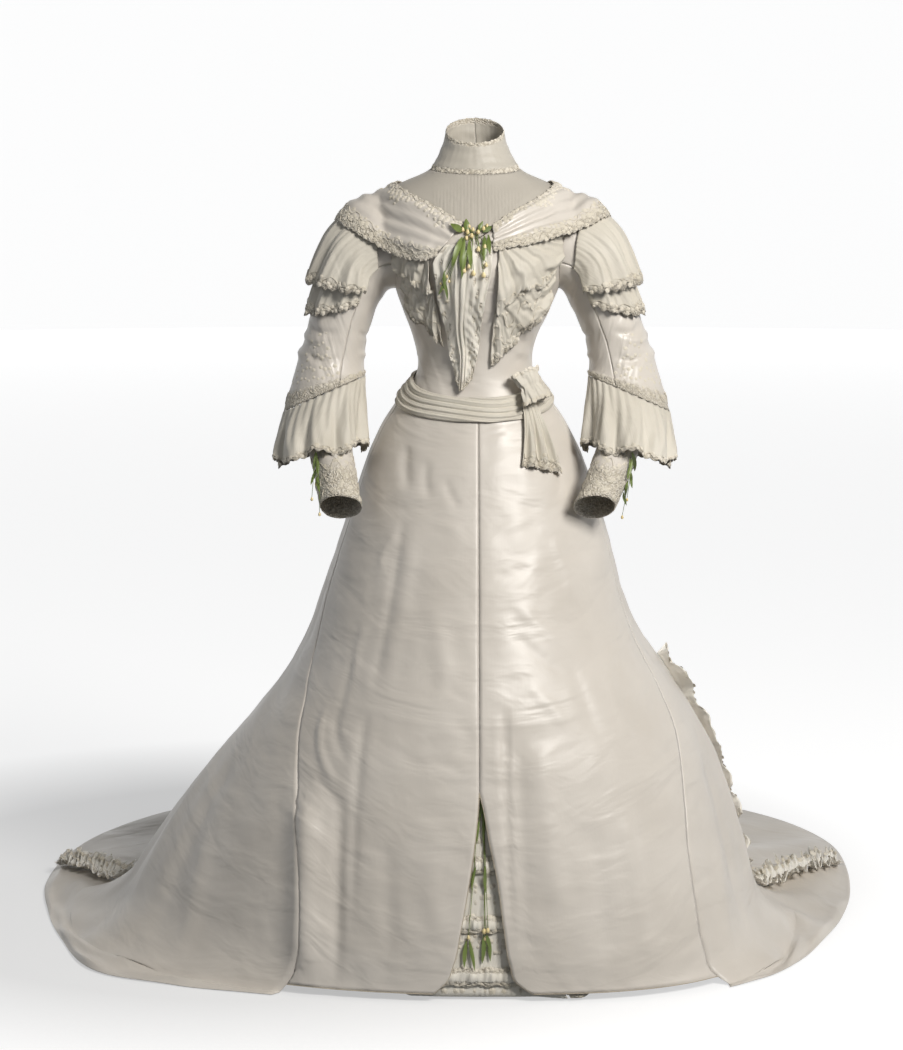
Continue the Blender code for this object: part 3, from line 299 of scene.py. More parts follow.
CUFF = [
    Ring(0.00, 0.259, 0.254, -0.001, 1.016, 0.0580, 0.0620, -0.009, 0.002),
    Ring(0.18, 0.262, 0.256, -0.012, 0.982, 0.048, 0.051, -0.012, 0.010),
    Ring(0.38, 0.261, 0.254, -0.038, 0.938, 0.040, 0.043, -0.006, 0.022),
    Ring(0.60, 0.254, 0.240, -0.076, 0.888, 0.037, 0.039, -0.003, 0.027),
    Ring(0.82, 0.243, 0.218, -0.117, 0.838, 0.036, 0.037, -0.001, 0.026),
    Ring(1.00, 0.234, 0.197, -0.149, 0.797, 0.035, 0.035, 0.000, 0.024),
]

# Collar: top edge, lower at the front; its lower edge follows the yoke.
COLLAR_MIDDLE_X = -0.006
COLLAR_MIDDLE_Y = 0.004
COLLAR_HALF_X = 0.0495
COLLAR_HALF_Y = 0.0505
COLLAR_TOP = 1.431
COLLAR_TOP_TILT = 0.021
COLLAR_BASE = 1.3670
COLLAR_BASE_TILT = 0.0100
COLLAR_BANDS = 3

# Bertha: the angle of its upper edge on the neckline and, to either side, its lower edge.
Bertha = namedtuple("Bertha", "angle left_x left_height right_x right_height y")
BERTHA = [
    Bertha(9, 0.072, 1.224, 0.026, 1.230, -0.140),
    Bertha(22, 0.098, 1.215, 0.076, 1.241, -0.133),
    Bertha(42, 0.130, 1.219, 0.126, 1.253, -0.108),
    Bertha(62, 0.174, 1.238, 0.166, 1.262, -0.074),
    Bertha(80, 0.208, 1.256, 0.194, 1.267, -0.036),
    Bertha(92, 0.222, 1.264, 0.206, 1.268, 0.010),
    Bertha(108, 0.206, 1.262, 0.194, 1.262, 0.056),
    Bertha(135, 0.150, 1.250, 0.146, 1.250, 0.100),
    Bertha(160, 0.078, 1.240, 0.078, 1.240, 0.124),
    Bertha(178, 0.006, 1.236, 0.006, 1.236, 0.130),
]
BERTHA_FOLDS = [0.0, 0.0050, 0.0014, 0.0050, 0.0]
BERTHA_FOCUS = (0.085, 0.0, 1.17)
BERTHA_GAP = 0.0012

# Chest flounce: its upper and lower edge at each angle.
Flounce = namedtuple("Flounce", "angle top bottom")
FLOUNCE = [
    Flounce(12, 1.238, 1.035),
    Flounce(26, 1.242, 1.058),
    Flounce(40, 1.247, 1.090),
    Flounce(54, 1.252, 1.118),
    Flounce(60, 1.254, 1.130),
]
FLOUNCE_START_LEFT = 31.0
FLOUNCE_LIFT = 0.0085
FLOUNCE_WAVE = 0.0044

# Jabot: the angles of its two edges at each height; it ends in a point a little to the left.
Jabot = namedtuple("Jabot", "height start end")
JABOT = [
    Jabot(0.988, -21, -5),
    Jabot(1.010, -24, -3),
    Jabot(1.060, -26, 0),
    Jabot(1.110, -27, 2),
    Jabot(1.160, -28, 5),
    Jabot(1.205, -28, 8),
    Jabot(1.240, -20, 8),
]
JABOT_POINT = -13.0
JABOT_LIFT = 0.0065
JABOT_WAVE = 0.0042

# Cap flounces on the upper sleeve, in turns round the sleeve: 0 outer, 90 front, 180 inner.
Cap = namedtuple("Cap", "turn top_upper bottom_upper top_lower bottom_lower")
CAPS = [
    Cap(-120, 0.12, 0.30, 0.20, 0.40),
    Cap(-70, 0.08, 0.38, 0.20, 0.52),
    Cap(-20, 0.07, 0.43, 0.20, 0.58),
    Cap(30, 0.07, 0.43, 0.20, 0.58),
    Cap(75, 0.08, 0.40, 0.20, 0.54),
    Cap(112, 0.14, 0.33, 0.22, 0.44),
]
CAP_WAVES = 7
CapTier = namedtuple("CapTier", "node place start lift wave")
CAP_TIERS = [
    CapTier("cap_frill", "lower", 0.0041, 0.0095, 0.0034),
    CapTier("cap_flounce", "upper", 0.0052, 0.0230, 0.0042),
]

# Sash: its middle line and half height; its pleats run round the waist.
SASH_MIDDLE = 0.988
SASH_TILT = 0.030
SASH_HALF = 0.0205
SASH_LIFT = 0.0050
SASH_PLEAT = 0.0024
KNOT_ANGLE = 41.0
KNOT_HEIGHT = 0.987
KNOT_OUT = 0.032
KNOT_DEEP = 0.0110
KNOT_WIDE = 0.023
KNOT_TALL = 0.028

# Garland ruffles: the angle each follows and its half width, along the skirt and the train.
Garland = namedtuple("Garland", "along left right half")
GARLAND = [
    Garland(0.500, 130, 98, 0.014),
    Garland(0.600, 128, 100, 0.025),
    Garland(0.800, 122, 104, 0.032),
    Garland(1.000, 115, 108, 0.034),
    Garland(1.500, 113, 113, 0.038),
    Garland(1.930, 112, 117, 0.040),
]
GARLAND_LIFT = 0.021

# Inset behind the slit and its ruched tiers.
INSET_ANGLE = 15.0
INSET_TOP = 0.440
INSET_DEPTH = 0.016
INSET_LACE = (0.03, 0.17, 0.20, 0.23, 0.38, 0.41, 0.45, 0.58, 0.61, 0.66)
HEM_CLEAR = 0.003
STRIP_HIGH = 0.045
STRIP_END = 38
# Height, and the angle to either side that shows in the slit there.
SEEN = [(0.0, 11), (0.06, 7), (0.13, 5), (0.20, 3.2), (0.27, 1.8), (0.33, 0.4)]
Tier = namedtuple("Tier", "height half_angle drop")
TIERS = [Tier(0.238, 4.4, 0.030), Tier(0.140, 6.6, 0.030), Tier(0.052, 8.6, 0.032)]
TIER_PUFF = 0.0060
TIER_WAVE = 0.0022
TIER_WAVES = 5

# Where a spray feels for the cloth behind it, and the gap of a piece that sits on another.
AROUND = ((0, 0), (0.004, 0), (-0.004, 0), (0, 0.005), (0, -0.005))
SEAT_GAP = 0.0008


def unit(v):
    """Vectors of length 1; a vector of no length stays as it is."""
    return v / np.maximum(np.linalg.norm(v, axis=-1, keepdims=True), 1e-12)


def curve(xs, ys, at):
    """A smooth line through the points of a table, flat where the values turn round."""
    xs, ys = np.asarray(xs, float), np.asarray(ys, float)
    at = np.clip(np.asarray(at, float), xs[0], xs[-1])
    step, slope = np.diff(xs), np.diff(ys) / np.diff(xs)
    lean = np.concatenate([slope[:1], slope[1:], slope[-1:]])
    lean[1:-1] = (slope[1:] * step[:-1] + slope[:-1] * step[1:]) / (step[1:] + step[:-1])
    lean[1:-1][slope[1:] * slope[:-1] <= 0] = 0
    i = np.clip(np.searchsorted(xs, at, side="right") - 1, 0, len(xs) - 2)
    h = step[i]
    t = (at - xs[i]) / h
    return (
        (1 + 2 * t) * (1 - t) ** 2 * ys[i]
        + t * (1 - t) ** 2 * h * lean[i]
        + t * t * (3 - 2 * t) * ys[i + 1]
        + t * t * (t - 1) * h * lean[i + 1]
    )


def read(table, key, name, at):
    return curve([getattr(r, key) for r in table], [getattr(r, name) for r in table], at)


def ease(t):
    t = np.clip(t, 0, 1)
    return t * t * (3 - 2 * t)


def grid(us, vs):
    return np.meshgrid(np.asarray(us, float), np.asarray(vs, float))


def body(angle, height):
    """The point of the body's outline at an angle and a height above the floor."""
    angle, height = np.broadcast_arrays(np.asarray(angle, float), np.asarray(height, float))
    a = np.radians(angle)
    s, c = np.sin(a), np.cos(a)
    left = s < 0

    def of(name):
        return read(BODY, "height", name, height)

    side = np.where(left, of("left"), of("right"))
    power = np.where(c > 0, np.where(left, of("square_left"), of("square_right")), 2.0)
    wide_y = of("wide_y")
    depth = np.where(c > 0, of("front") + wide_y, of("back") - wide_y)
    out = (np.abs(s) ** power + np.abs(c) ** power) ** (-1 / power)
    return np.stack([side * s * out, wide_y - depth * c * out, height + 0 * s], axis=-1)


def normals(surface, u, v, du, dv):
    """Unit normals of a surface of two numbers, from points close by."""
    across = surface(u + du, v) - surface(u - du, v)
    return unit(np.cross(across, surface(u, v + dv) - surface(u, v - dv)))


def body_normals(angle, height):
    return normals(body, angle, height, 0.5, 0.002)


def level_normals(angle, height):
    """Normals of the outline at one height, for pieces that move level with the floor."""
    n = body_normals(angle, height)
    n[..., 2] = 0
    return unit(n)


def on_body(angle, height, off):
    """A point of the body's outline, moved out by off."""
    return body(angle, height) + body_normals(angle, height) * np.asarray(off)[..., None]


def waist(angle):
    """Height of the waist seam, lower at the front."""
    return 0.9925 - 0.0375 * np.cos(np.radians(angle))


def fold_rise(angle, height):
    """How far the pipe folds stand out of the skirt."""
    total = 0.0
    for f in FOLDS:
        low = ease((f.start - height) / f.start)
        at = f.angle_floor + (f.angle_top - f.angle_floor) * np.clip(height / FOLD_LOW, 0, 1)
        total = total + f.rise * low * np.exp(-(((angle - at) / f.width) ** 2))
    return total


def falling(angle, down):
    """The falling skirt: down is 0 at the waist seam and 1 at the floor."""
    nominal = 1.0 - down
    height = nominal + (waist(angle) - 1.0) * np.clip(1 - down / 0.25, 0, 1) ** 2
    p = on_body(angle, height, fold_rise(angle, height))
    p[..., 2] += SATIN * np.clip(1 - nominal / 0.3, 0, 1)
    return p


def train_edge(angle):
    size = np.abs(angle)
    left = angle < 0
    x = np.where(left, -read(TRAIN, "angle", "left_x", size), read(TRAIN, "angle", "right_x", size))
    y = np.where(left, read(TRAIN, "angle", "left_y", size), read(TRAIN, "angle", "right_y", size))
    return np.stack([x, y, np.full_like(x, SATIN)], axis=-1)


def skirt(angle, down):
    """The skirt and, for down from 1 to 2, the cloth that lies on the floor."""
    angle, down = np.broadcast_arrays(np.asarray(angle, float), np.asarray(down, float))
    wall = falling(angle, np.minimum(down, 1.0))
    r = np.clip(down - 1, 0, 1)[..., None]
    flat = wall * (1 - r) + train_edge(angle) * r
    flat[..., 2] = SATIN + (wall[..., 2] - SATIN) * (1 - r[..., 0]) ** 2
    return np.where(r > 0, flat, wall)


def skirt_normals(angle, down):
    """Normals of the skirt, from one side of the fold where it meets the floor."""
    near = np.where(down <= 1, np.clip(down, 0.003, 0.997), np.maximum(down, 1.003))
    return normals(lambda a, d: skirt(a, -d), angle, -near, 0.4, 0.002)


def neckline(angle):
    """Height of the neckline of the bodice at an angle."""
    return curve(NECKLINE_ANGLES, NECKLINE_HEIGHTS, np.abs(angle))


def collar_base(angle):
    return COLLAR_BASE - COLLAR_BASE_TILT * np.cos(np.radians(angle))


def collar(angle, share):
    """The standing collar, from the yoke's edge (share 0) to its tilted top edge (share 1)."""
    a = np.radians(angle)
    base = body(angle, collar_base(angle)) + np.array([0, 0, SEAM])
    top = np.stack(
        [
            COLLAR_MIDDLE_X + COLLAR_HALF_X * np.sin(a),
            COLLAR_MIDDLE_Y - COLLAR_HALF_Y * np.cos(a),
            COLLAR_TOP - COLLAR_TOP_TILT * np.cos(a),
        ],
        axis=-1,
    )
    share = np.asarray(share)[..., None]
    bend = 1 - np.clip(1 - share, 0, 1) ** 1.6
    p = base * (1 - share) + top * share
    p[..., :2] = (base * (1 - bend) + top * bend)[..., :2]
    return p


def armhole(side, turn):
    """Angle and height of a point of the armhole: turn 0 at the shoulder, 90 at its front."""
    t = np.radians(turn)
    low = ARMHOLE_MIDDLE - ARMHOLE_HALF
    angle = 90 - ARMHOLE_WIDTH * np.sin(t)
    share = (ARMHOLE_MIDDLE + ARMHOLE_HALF * np.cos(t) - low) / (SHOULDER_TOP - low)
    return side * angle, low + share * (neckline(angle) - low)


def tube(table, side, turn, along):
    """A point of a sleeve's ring table."""
    t = np.radians(turn)

    def of(name):
        return read(table, "along", name, along)

    x = of("right") if side > 0 else of("left")
    return np.stack(
        [
            side * (x + of("half_x") * np.cos(t)),
            of("y") - of("half_y") * np.sin(t),
            of("height") + of("rise_out") * np.cos(t) + of("rise_front") * np.sin(t),
        ],
        axis=-1,
    )


def sleeve(side, turn, along):
    """The upper sleeve, which starts on the armhole and goes over into its rings."""
    turn, along = np.broadcast_arrays(np.asarray(turn, float), np.asarray(along, float))
    angle, height = armhole(side, turn)
    start = on_body(angle, height, np.full(turn.shape, SEWN))
    first = SLEEVE[0].along
    ring = tube(SLEEVE, side, turn, np.maximum(along, first))
    step = 0.01
    end = tube(SLEEVE, side, turn, first + 0 * along)
    end_run = (tube(SLEEVE, side, turn, first + step + 0 * along) - end) / step * first
    out = np.abs(end[..., :1] - start[..., :1]) * np.array([side * 0.9, 0.0, 0.0])
    t = np.clip(along / first, 0, 1)[..., None]
    head = (
        (1 + 2 * t) * (1 - t) ** 2 * start
        + t * (1 - t) ** 2 * out
        + t * t * (3 - 2 * t) * end
        + t * t * (t - 1) * end_run
    )
    return np.where(along[..., None] < first, head, ring)


def round_normals(surface, side, turn, along):
    """Outward normals of a sleeve surface."""
    near = np.clip(along, 0.004, 0.996)
    return side * normals(lambda t, a: surface(side, t, a), turn, near, 1.0, 0.004)


def frill_tube(side, turn, along):
    return tube(FRILL, side, turn, along)


def cuff_tube(side, turn, along):
    return tube(CUFF, side, turn, along)


def narrowed(p, left=SEAM / 2, right=SEAM / 2, top=0.0, bottom=0.0):
    """Draws the edges of a sheet back along its own surface; at a seam, by half its gap."""
    p = p.copy()
    edges = ((0, 1, left, 0), (-1, -2, right, 0), (0, 1, top, 1), (-1, -2, bottom, 1))
    for edge, nxt, gap, rows in edges:
        if gap:
            at = (edge,) if rows else (slice(None), edge)
            to = (nxt,) if rows else (slice(None), nxt)
            p[at] += unit(p[to] - p[at]) * gap
    return p


def slit_angle(height, side):
    """How far round from the centre front the slit's edge lies."""
    height = np.clip(height, SLIT[0].height, SLIT_TOP)
    half = read(SLIT, "height", "left" if side < 0 else "right", height)
    wide = read(BODY, "height", "left" if side < 0 else "right", height)
    return np.degrees(half / wide)


# Thickness of the real cloth.
CLOTH = 0.0010

SOLIDS = {}
FOUND = {}
SHEETS = {}

Crease = namedtuple("Crease", "x0 h0 x1 h1 x2 h2 width rise")
# Front of the skirt: x and height of three points along each crease, its width and its rise.
FRONT_CREASES = [
    Crease(-0.125, 0.800, -0.150, 0.640, -0.185, 0.470, 0.0079, -0.0025),
    Crease(-0.185, 0.470, -0.205, 0.330, -0.212, 0.060, 0.0094, -0.0036),
    Crease(-0.104, 0.800, -0.128, 0.640, -0.160, 0.480, 0.0144, 0.0022),
    Crease(-0.255, 0.470, -0.268, 0.400, -0.232, 0.345, 0.0072, 0.0043),
    Crease(-0.236, 0.470, -0.240, 0.420, -0.212, 0.380, 0.0086, -0.0032),
    Crease(-0.280, 0.360, -0.250, 0.330, -0.215, 0.300, 0.0086, -0.0032),
    Crease(-0.284, 0.350, -0.286, 0.180, -0.290, -0.020, 0.030, 0.0220),
    Crease(-0.232, 0.330, -0.236, 0.180, -0.240, -0.020, 0.012, -0.0060),
    Crease(-0.120, 0.905, -0.125, 0.860, -0.118, 0.820, 0.0101, -0.0029),
    Crease(-0.085, 0.880, -0.090, 0.840, -0.078, 0.810, 0.0086, -0.0025),
    Crease(-0.060, 0.850, -0.045, 0.815, -0.030, 0.800, 0.0072, -0.002),
    Crease(-0.135, 0.760, -0.160, 0.720, -0.165, 0.680, 0.0086, 0.0022),
    Crease(-0.060, 0.520, -0.035, 0.500, -0.006, 0.490, 0.0072, -0.0014),
    Crease(-0.110, 0.420, -0.060, 0.440, -0.012, 0.425, 0.0079, 0.0016),
    Crease(-0.130, 0.380, -0.070, 0.390, -0.015, 0.370, 0.0086, -0.0016),
    Crease(-0.190, 0.600, -0.205, 0.560, -0.215, 0.500, 0.0094, 0.0025),
    Crease(-0.210, 0.560, -0.226, 0.500, -0.240, 0.440, 0.0086, -0.0025),
    Crease(-0.080, 0.640, -0.060, 0.560, -0.058, 0.480, 0.0173, 0.0025),
    Crease(-0.100, 0.260, -0.070, 0.180, -0.080, 0.060, 0.0216, 0.0029),
    Crease(-0.160, 0.280, -0.150, 0.160, -0.158, 0.040, 0.0173, -0.0032),
    Crease(0.043, 0.485, 0.045, 0.330, 0.056, 0.030, 0.0055, -0.0062),
    Crease(0.064, 0.450, 0.070, 0.300, 0.084, 0.030, 0.013, -0.0029),
    Crease(0.100, 0.430, 0.115, 0.300, 0.140, 0.040, 0.0245, 0.0047),
    Crease(0.180, 0.300, 0.200, 0.200, 0.215, 0.040, 0.0216, -0.0036),
    Crease(0.235, 0.330, 0.262, 0.200, 0.285, 0.040, 0.0187, 0.0043),
    Crease(0.060, 0.640, 0.110, 0.600, 0.165, 0.545, 0.0108, 0.002),
    Crease(0.050, 0.600, 0.100, 0.560, 0.150, 0.520, 0.0094, -0.0019),
    Crease(0.120, 0.760, 0.150, 0.690, 0.155, 0.640, 0.013, 0.0022),
    Crease(0.150, 0.560, 0.180, 0.480, 0.205, 0.420, 0.013, -0.0026),
    Crease(0.020, 0.700, 0.060, 0.690, 0.095, 0.720, 0.0086, -0.0014),
    Crease(0.072, 0.520, 0.120, 0.480, 0.150, 0.430, 0.0101, 0.0019),
    Crease(0.024, 0.480, 0.030, 0.420, 0.022, 0.370, 0.0072, 0.0013),
    Crease(0.130, 0.880, 0.140, 0.840, 0.130, 0.800, 0.0101, -0.0025),
    Crease(0.215, 0.540, 0.235, 0.470, 0.262, 0.400, 0.0101, 0.0023),
]
# Sides and back: angle and height of three points, alike on both sides.
SIDE_CREASES = [
    Crease(84, 0.900, 86, 0.700, 80, 0.450, 0.020, -0.0045),
    Crease(98, 0.880, 100, 0.640, 96, 0.380, 0.024, 0.0050),
    Crease(70, 0.380, 64, 0.200, 58, 0.020, 0.024, -0.0055),
    Crease(84, 0.420, 78, 0.220, 72, 0.020, 0.030, 0.0080),
    Crease(96, 0.420, 92, 0.220, 88, 0.020, 0.028, -0.0070),
    Crease(106, 0.400, 104, 0.200, 103, 0.020, 0.026, 0.0060),
    Crease(60, 0.240, 54, 0.120, 50, 0.020, 0.020, 0.0050),
    Crease(126, 0.900, 124, 0.650, 120, 0.300, 0.022, -0.0050),
    Crease(144, 0.850, 140, 0.550, 136, 0.250, 0.018, -0.0060),
    Crease(160, 0.880, 157, 0.600, 154, 0.250, 0.018, -0.0065),
    Crease(174, 0.860, 173, 0.600, 172, 0.280, 0.016, -0.0060),
    Crease(120, 0.500, 128, 0.440, 134, 0.400, 0.014, 0.0035),
    Crease(150, 0.480, 158, 0.430, 166, 0.410, 0.014, -0.0035),
    Crease(130, 0.300, 138, 0.260, 150, 0.240, 0.016, 0.0040),
]
BODICE_CREASES = [
    Crease(-0.092, 1.130, -0.080, 1.090, -0.066, 1.060, 0.006, -0.0016),
    Crease(0.070, 1.110, 0.085, 1.095, 0.100, 1.100, 0.008, 0.0022),
    Crease(0.066, 1.085, 0.080, 1.070, 0.096, 1.075, 0.007, -0.0020),
    Crease(0.060, 1.060, 0.078, 1.050, 0.092, 1.050, 0.007, 0.0018),
    Crease(0.105, 1.175, 0.118, 1.150, 0.114, 1.120, 0.008, -0.0018),
    Crease(-0.120, 1.180, -0.112, 1.150, -0.105, 1.120, 0.008, 0.0016),
]
# Creases of the upper sleeves: turn round the sleeve and share along it.
SLEEVE_CREASES = [
    Crease(20, 0.62, 60, 0.66, 100, 0.63, 0.0055, -0.0028),
    Crease(-20, 0.66, 30, 0.70, 80, 0.69, 0.0051, 0.0025),
    Crease(40, 0.74, 70, 0.80, 108, 0.77, 0.0055, -0.003),
    Crease(-60, 0.70, -10, 0.76, 40, 0.78, 0.0059, 0.003),
    Crease(-90, 0.60, -50, 0.65, -10, 0.62, 0.0051, -0.0025),
    Crease(-100, 0.78, -60, 0.82, -20, 0.80, 0.0059, -0.0028),
    Crease(130, 0.62, 170, 0.66, 220, 0.64, 0.0051, -0.0018),
    Crease(140, 0.76, 180, 0.79, 230, 0.77, 0.0051, 0.0018),
]


def grid_normals(p, closed=False):
    """Normals of a grid of points from its own rows and columns."""
    across = np.roll(p, -1, axis=1) - np.roll(p, 1, axis=1) if closed else np.gradient(p, axis=1)
    return unit(np.cross(across, np.gradient(p, axis=0)))


def lengths(p, axis):
    """Length along the rows or columns of a grid, from its first line."""
    s = np.cumsum(np.linalg.norm(np.diff(p, axis=axis), axis=-1), axis=axis)
    return np.concatenate([np.zeros_like(np.take(s, [0], axis=axis)), s], axis=axis)


def cut(p, closed):
    """Width, length and area of a grid of cloth, measured along its own lines as it hangs."""
    q = np.concatenate([p, p[:, :1]], axis=1) if closed else p
    across, down = q[:, 1:] - q[:, :-1], q[1:] - q[:-1]
    area = 0.5 * np.linalg.norm(np.cross(across[:-1], down[:, :-1]), axis=-1).sum()
    area += 0.5 * np.linalg.norm(np.cross(across[1:], down[:, 1:]), axis=-1).sum()
    width = np.linalg.norm(across, axis=-1).sum(axis=1).max()
    length = np.linalg.norm(down, axis=-1).sum(axis=0).max()
    return float(width), float(length), float(area)


def quads(rows, columns, closed=False):
    """Faces of a grid of points, row by row; a closed one joins its last column to its first."""
    last = columns if closed else columns - 1
    i, j = np.meshgrid(np.arange(rows - 1), np.arange(last), indexing="ij")
    k = (j + 1) % columns
    low, high = i * columns, (i + 1) * columns
    return np.stack([low + j, low + k, high + k, high + j], axis=-1).reshape(-1, 4)


FLIPPED = [0, 3, 2, 1]


def ripple(p, size, wave, seed, stretch=(1, 1, 1)):
    """Small uneven waves over a surface, the same each time."""
    rng = np.random.default_rng(seed)
    total = np.zeros(p.shape[:-1])
    for _ in range(9):
        direction = rng.normal(size=3)
        direction /= np.linalg.norm(direction)
        length = wave * rng.uniform(0.6, 1.7)
        total += np.sin(p @ (direction / stretch) * 2 * math.pi / length + rng.uniform(0, 6.3))
    return total * size / 3


def along_lines(p, lines, rises, widths):
    """Soft troughs and ridges along curves of points in space."""
    flat = p.reshape(-1, 3)
    total = np.zeros(len(flat))
    for line, rise, width in zip(lines, rises, widths):
        lo, hi = line.min(axis=0) - 3 * width, line.max(axis=0) + 3 * width
        near = np.flatnonzero(((flat > lo) & (flat < hi)).all(axis=1))
        if not len(near):
            continue
        d = np.linalg.norm(flat[near][:, None] - line[None], axis=-1)
        at = d.argmin(axis=1)
        share = at / (len(line) - 1)
        taper = ease(share / 0.25) * ease((1 - share) / 0.3)
        total[near] += rise * taper * np.exp(-((d[np.arange(len(at)), at] / width) ** 2))
    return total.reshape(p.shape[:-1])


def bent(table, place):
    """The curves of a crease table, each through its three points; place puts them in space."""
    lines = []
    t = np.linspace(0, 1, 40)
    for c in table:
        x = (1 - t) ** 2 * c.x0 + 2 * t * (1 - t) * (2 * c.x1 - (c.x0 + c.x2) / 2) + t * t * c.x2
        h = (1 - t) ** 2 * c.h0 + 2 * t * (1 - t) * (2 * c.h1 - (c.h0 + c.h2) / 2) + t * t * c.h2
        lines.append(place(x, h))
    return lines, [c.rise for c in table], [c.width for c in table]


def from_front(x, height):
    """Points of the body's outline at x and height, as seen from the front."""
    angles = np.linspace(-88, 88, 177)
    turn = [np.interp(a, body(angles, np.full(177, b))[:, 0], angles) for a, b in zip(x, height)]
    return body(np.array(turn), height)


def trees(*names):
    """Search trees of cloth already made."""
    for name in names:
        if name not in FOUND:
            points, faces = SOLIDS[name]
            corners = [Vector(p) for p in points]
            FOUND[name] = BVHTree.FromPolygons(corners, [list(f) for f in faces])
    return [FOUND[name] for name in names]


def reach(point, line, found, start):
    """How far along its line the outermost cloth stands beyond a point, looked for from start."""
    point, line = Vector(point), Vector(line).normalized()
    far = -1.0
    for tree in found:
        hit = tree.ray_cast(point + line * start, -line)
        if hit[0] is not None:
            far = max(far, (hit[0] - point).dot(line))
    return far


def spread(a, most, times):
    """The largest, or the mean, of each value's neighbours, a number of times."""
    for _ in range(times):
        q = np.pad(a, 1, mode="edge")
        near = [q[i : i + a.shape[0], j : j + a.shape[1]] for i in range(3) for j in range(3)]
        a = np.max(near, axis=0) if most else np.mean(near, axis=0)
    return a


def laid_on(p, lines, found, clear, start=0.5, soft=3):
    """Moves a grid of points out along its lines until it clears the cloth, going over softly."""
    lines = np.broadcast_to(lines, p.shape)
    flat, ways = p.reshape(-1, 3), lines.reshape(-1, 3)
    lack = np.array([reach(a, b, found, start) + clear for a, b in zip(flat, ways)])
    lack = np.maximum(lack, 0).reshape(p.shape[:2])
    lack = spread(spread(lack, True, soft), False, soft)
    return p + lines * lack[..., None]


def mesh_piece(name, points, faces, look, slot_name, uv=None, lace=None):
    """One object from points and faces, riding on the part."""
    points = np.array(points, np.float64)
    points[:, 2] = np.maximum(points[:, 2], 0.0002) - WAIST_HEIGHT
    faces = np.asarray(faces)
    mesh = bpy.data.meshes.new(name)
    mesh.vertices.add(len(points))
    mesh.vertices.foreach_set("co", points.astype(np.float32).ravel())
    size = faces.shape[1]
    mesh.loops.add(faces.size)
    mesh.loops.foreach_set("vertex_index", faces.astype(np.int32).ravel())
    mesh.polygons.add(len(faces))
    mesh.polygons.foreach_set("loop_start", np.arange(0, faces.size, size, dtype=np.int32))
    mesh.polygons.foreach_set("use_smooth", np.ones(len(faces), bool))
    mesh.update(calc_edges=True)
    if uv is not None:
        layer = mesh.uv_layers.new(name="UVMap")
        layer.data.foreach_set("uv", uv[faces.ravel()].astype(np.float32).ravel())
    if lace is not None:
        mask = mesh.attributes.new("lace", "FLOAT", "POINT")
        mask.data.foreach_set("value", lace.astype(np.float32))
    mesh.materials.append(look)
    obj = bpy.data.objects.new(name, mesh)
    bpy.context.scene.collection.objects.link(obj)
    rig.ride(obj, "root")
    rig.slot(obj, slot_name)
    return obj


def cloth(node, p, out, look, slot_name, held, closed=False, detail=None, lace=None, thick=CLOTH):
    """The fine cloth of one node: a thin closed sheet on a grid of points, its map in metres."""
    rows, cols = p.shape[:2]
    sign = 1 if np.sum(grid_normals(p, closed) * out) > 0 else -1
    u, v = np.meshgrid(np.linspace(0, 1, cols), np.linspace(0, 1, rows))
    if detail:
        s, t = lengths(p, 1), lengths(p, 0)
        p = p + (grid_normals(p, closed) * sign) * detail(p, u, v, s, t)[..., None]
    p[..., 2] = np.maximum(p[..., 2], thick + 0.0003)
    n = grid_normals(p, closed) * sign
    count = rows * cols
    front = quads(rows, cols, closed)[:, FLIPPED]
    behind = quads(rows, cols, closed) + count
    j = np.arange(cols if closed else cols - 1)
    k = (j + 1) % cols
    low = (rows - 1) * cols
    rims = [np.stack([j, k, k + count, j + count], axis=-1)]
    rims.append(np.stack([low + k, low + j, low + j + count, low + k + count], axis=-1))
    if not closed:
        x = np.arange(rows - 1) * cols
        y = x + cols
        rims.append(np.stack([y, x, x + count, y + count], axis=-1))
        x, y = x + cols - 1, y + cols - 1
        rims.append(np.stack([x, y, y + count, x + count], axis=-1))
    faces = np.concatenate([front, behind, *rims])
    if sign > 0:
        faces = faces[:, ::-1]
    points = np.concatenate([p.reshape(-1, 3), (p - n * thick).reshape(-1, 3)])
    uv = np.stack([lengths(p, 1), lengths(p, 0)], axis=-1).reshape(-1, 2)
    if callable(lace):
        lace = lace(u, v)
    mask = np.zeros(count) if lace is None else lace.reshape(-1)
    obj = mesh_piece(f"cloth_{node}", points, faces, look, slot_name, np.concatenate([uv, uv]),
                     np.concatenate([mask, mask]))
    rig.replaces(obj, node)
    SOLIDS[node] = (p.reshape(-1, 3), np.concatenate([front[:, [0, 1, 2]], front[:, [0, 2, 3]]]))
    # The declared flat size is this measure, not a pattern drawn apart from the mesh.
    width, length, area = cut(p, closed)
    length = max(length, area / width)
    SHEETS[node] = dict(piece=obj, flat=(round(width, 3), round(length + 0.0006, 3)), held=held,
                        area=round(area, 4), rests_on=[], with_pieces=[])
    return p, n * 1.0


def bands(top=0.0, bottom=0.0, soft=0.04):
    """A lace mask: 1 on the bands at the two edges of a piece, 0 between."""

    def mask(u, v):
        m = np.zeros_like(v)
        wave = 0.012 * np.sin(u * 150) + 0.008 * np.sin(u * 67 + 1)
        if top:
            m = np.maximum(m, ease((top - v + wave) / soft + 0.5))
        if bottom:
            m = np.maximum(m, ease((v - 1 + bottom + wave) / soft + 0.5))
        return m

    return mask


def ragged(p, v, size, depth, start=0.85):
    """Draws the lower edge of a piece down into small uneven scallops."""
    s = lengths(p, 1)[-1]
    down = unit(p[-1] - p[-2])
    lobe = np.abs(np.sin(s * math.pi / size + 0.8 * np.sin(s * 19)))
    lobe = lobe + 0.4 * np.sin(s * 97 + 1) * np.sin(s * 41)
    near = ease((v - start) / (1 - start))[..., None]
    return p + down[None] * (lobe * depth)[None, :, None] * near


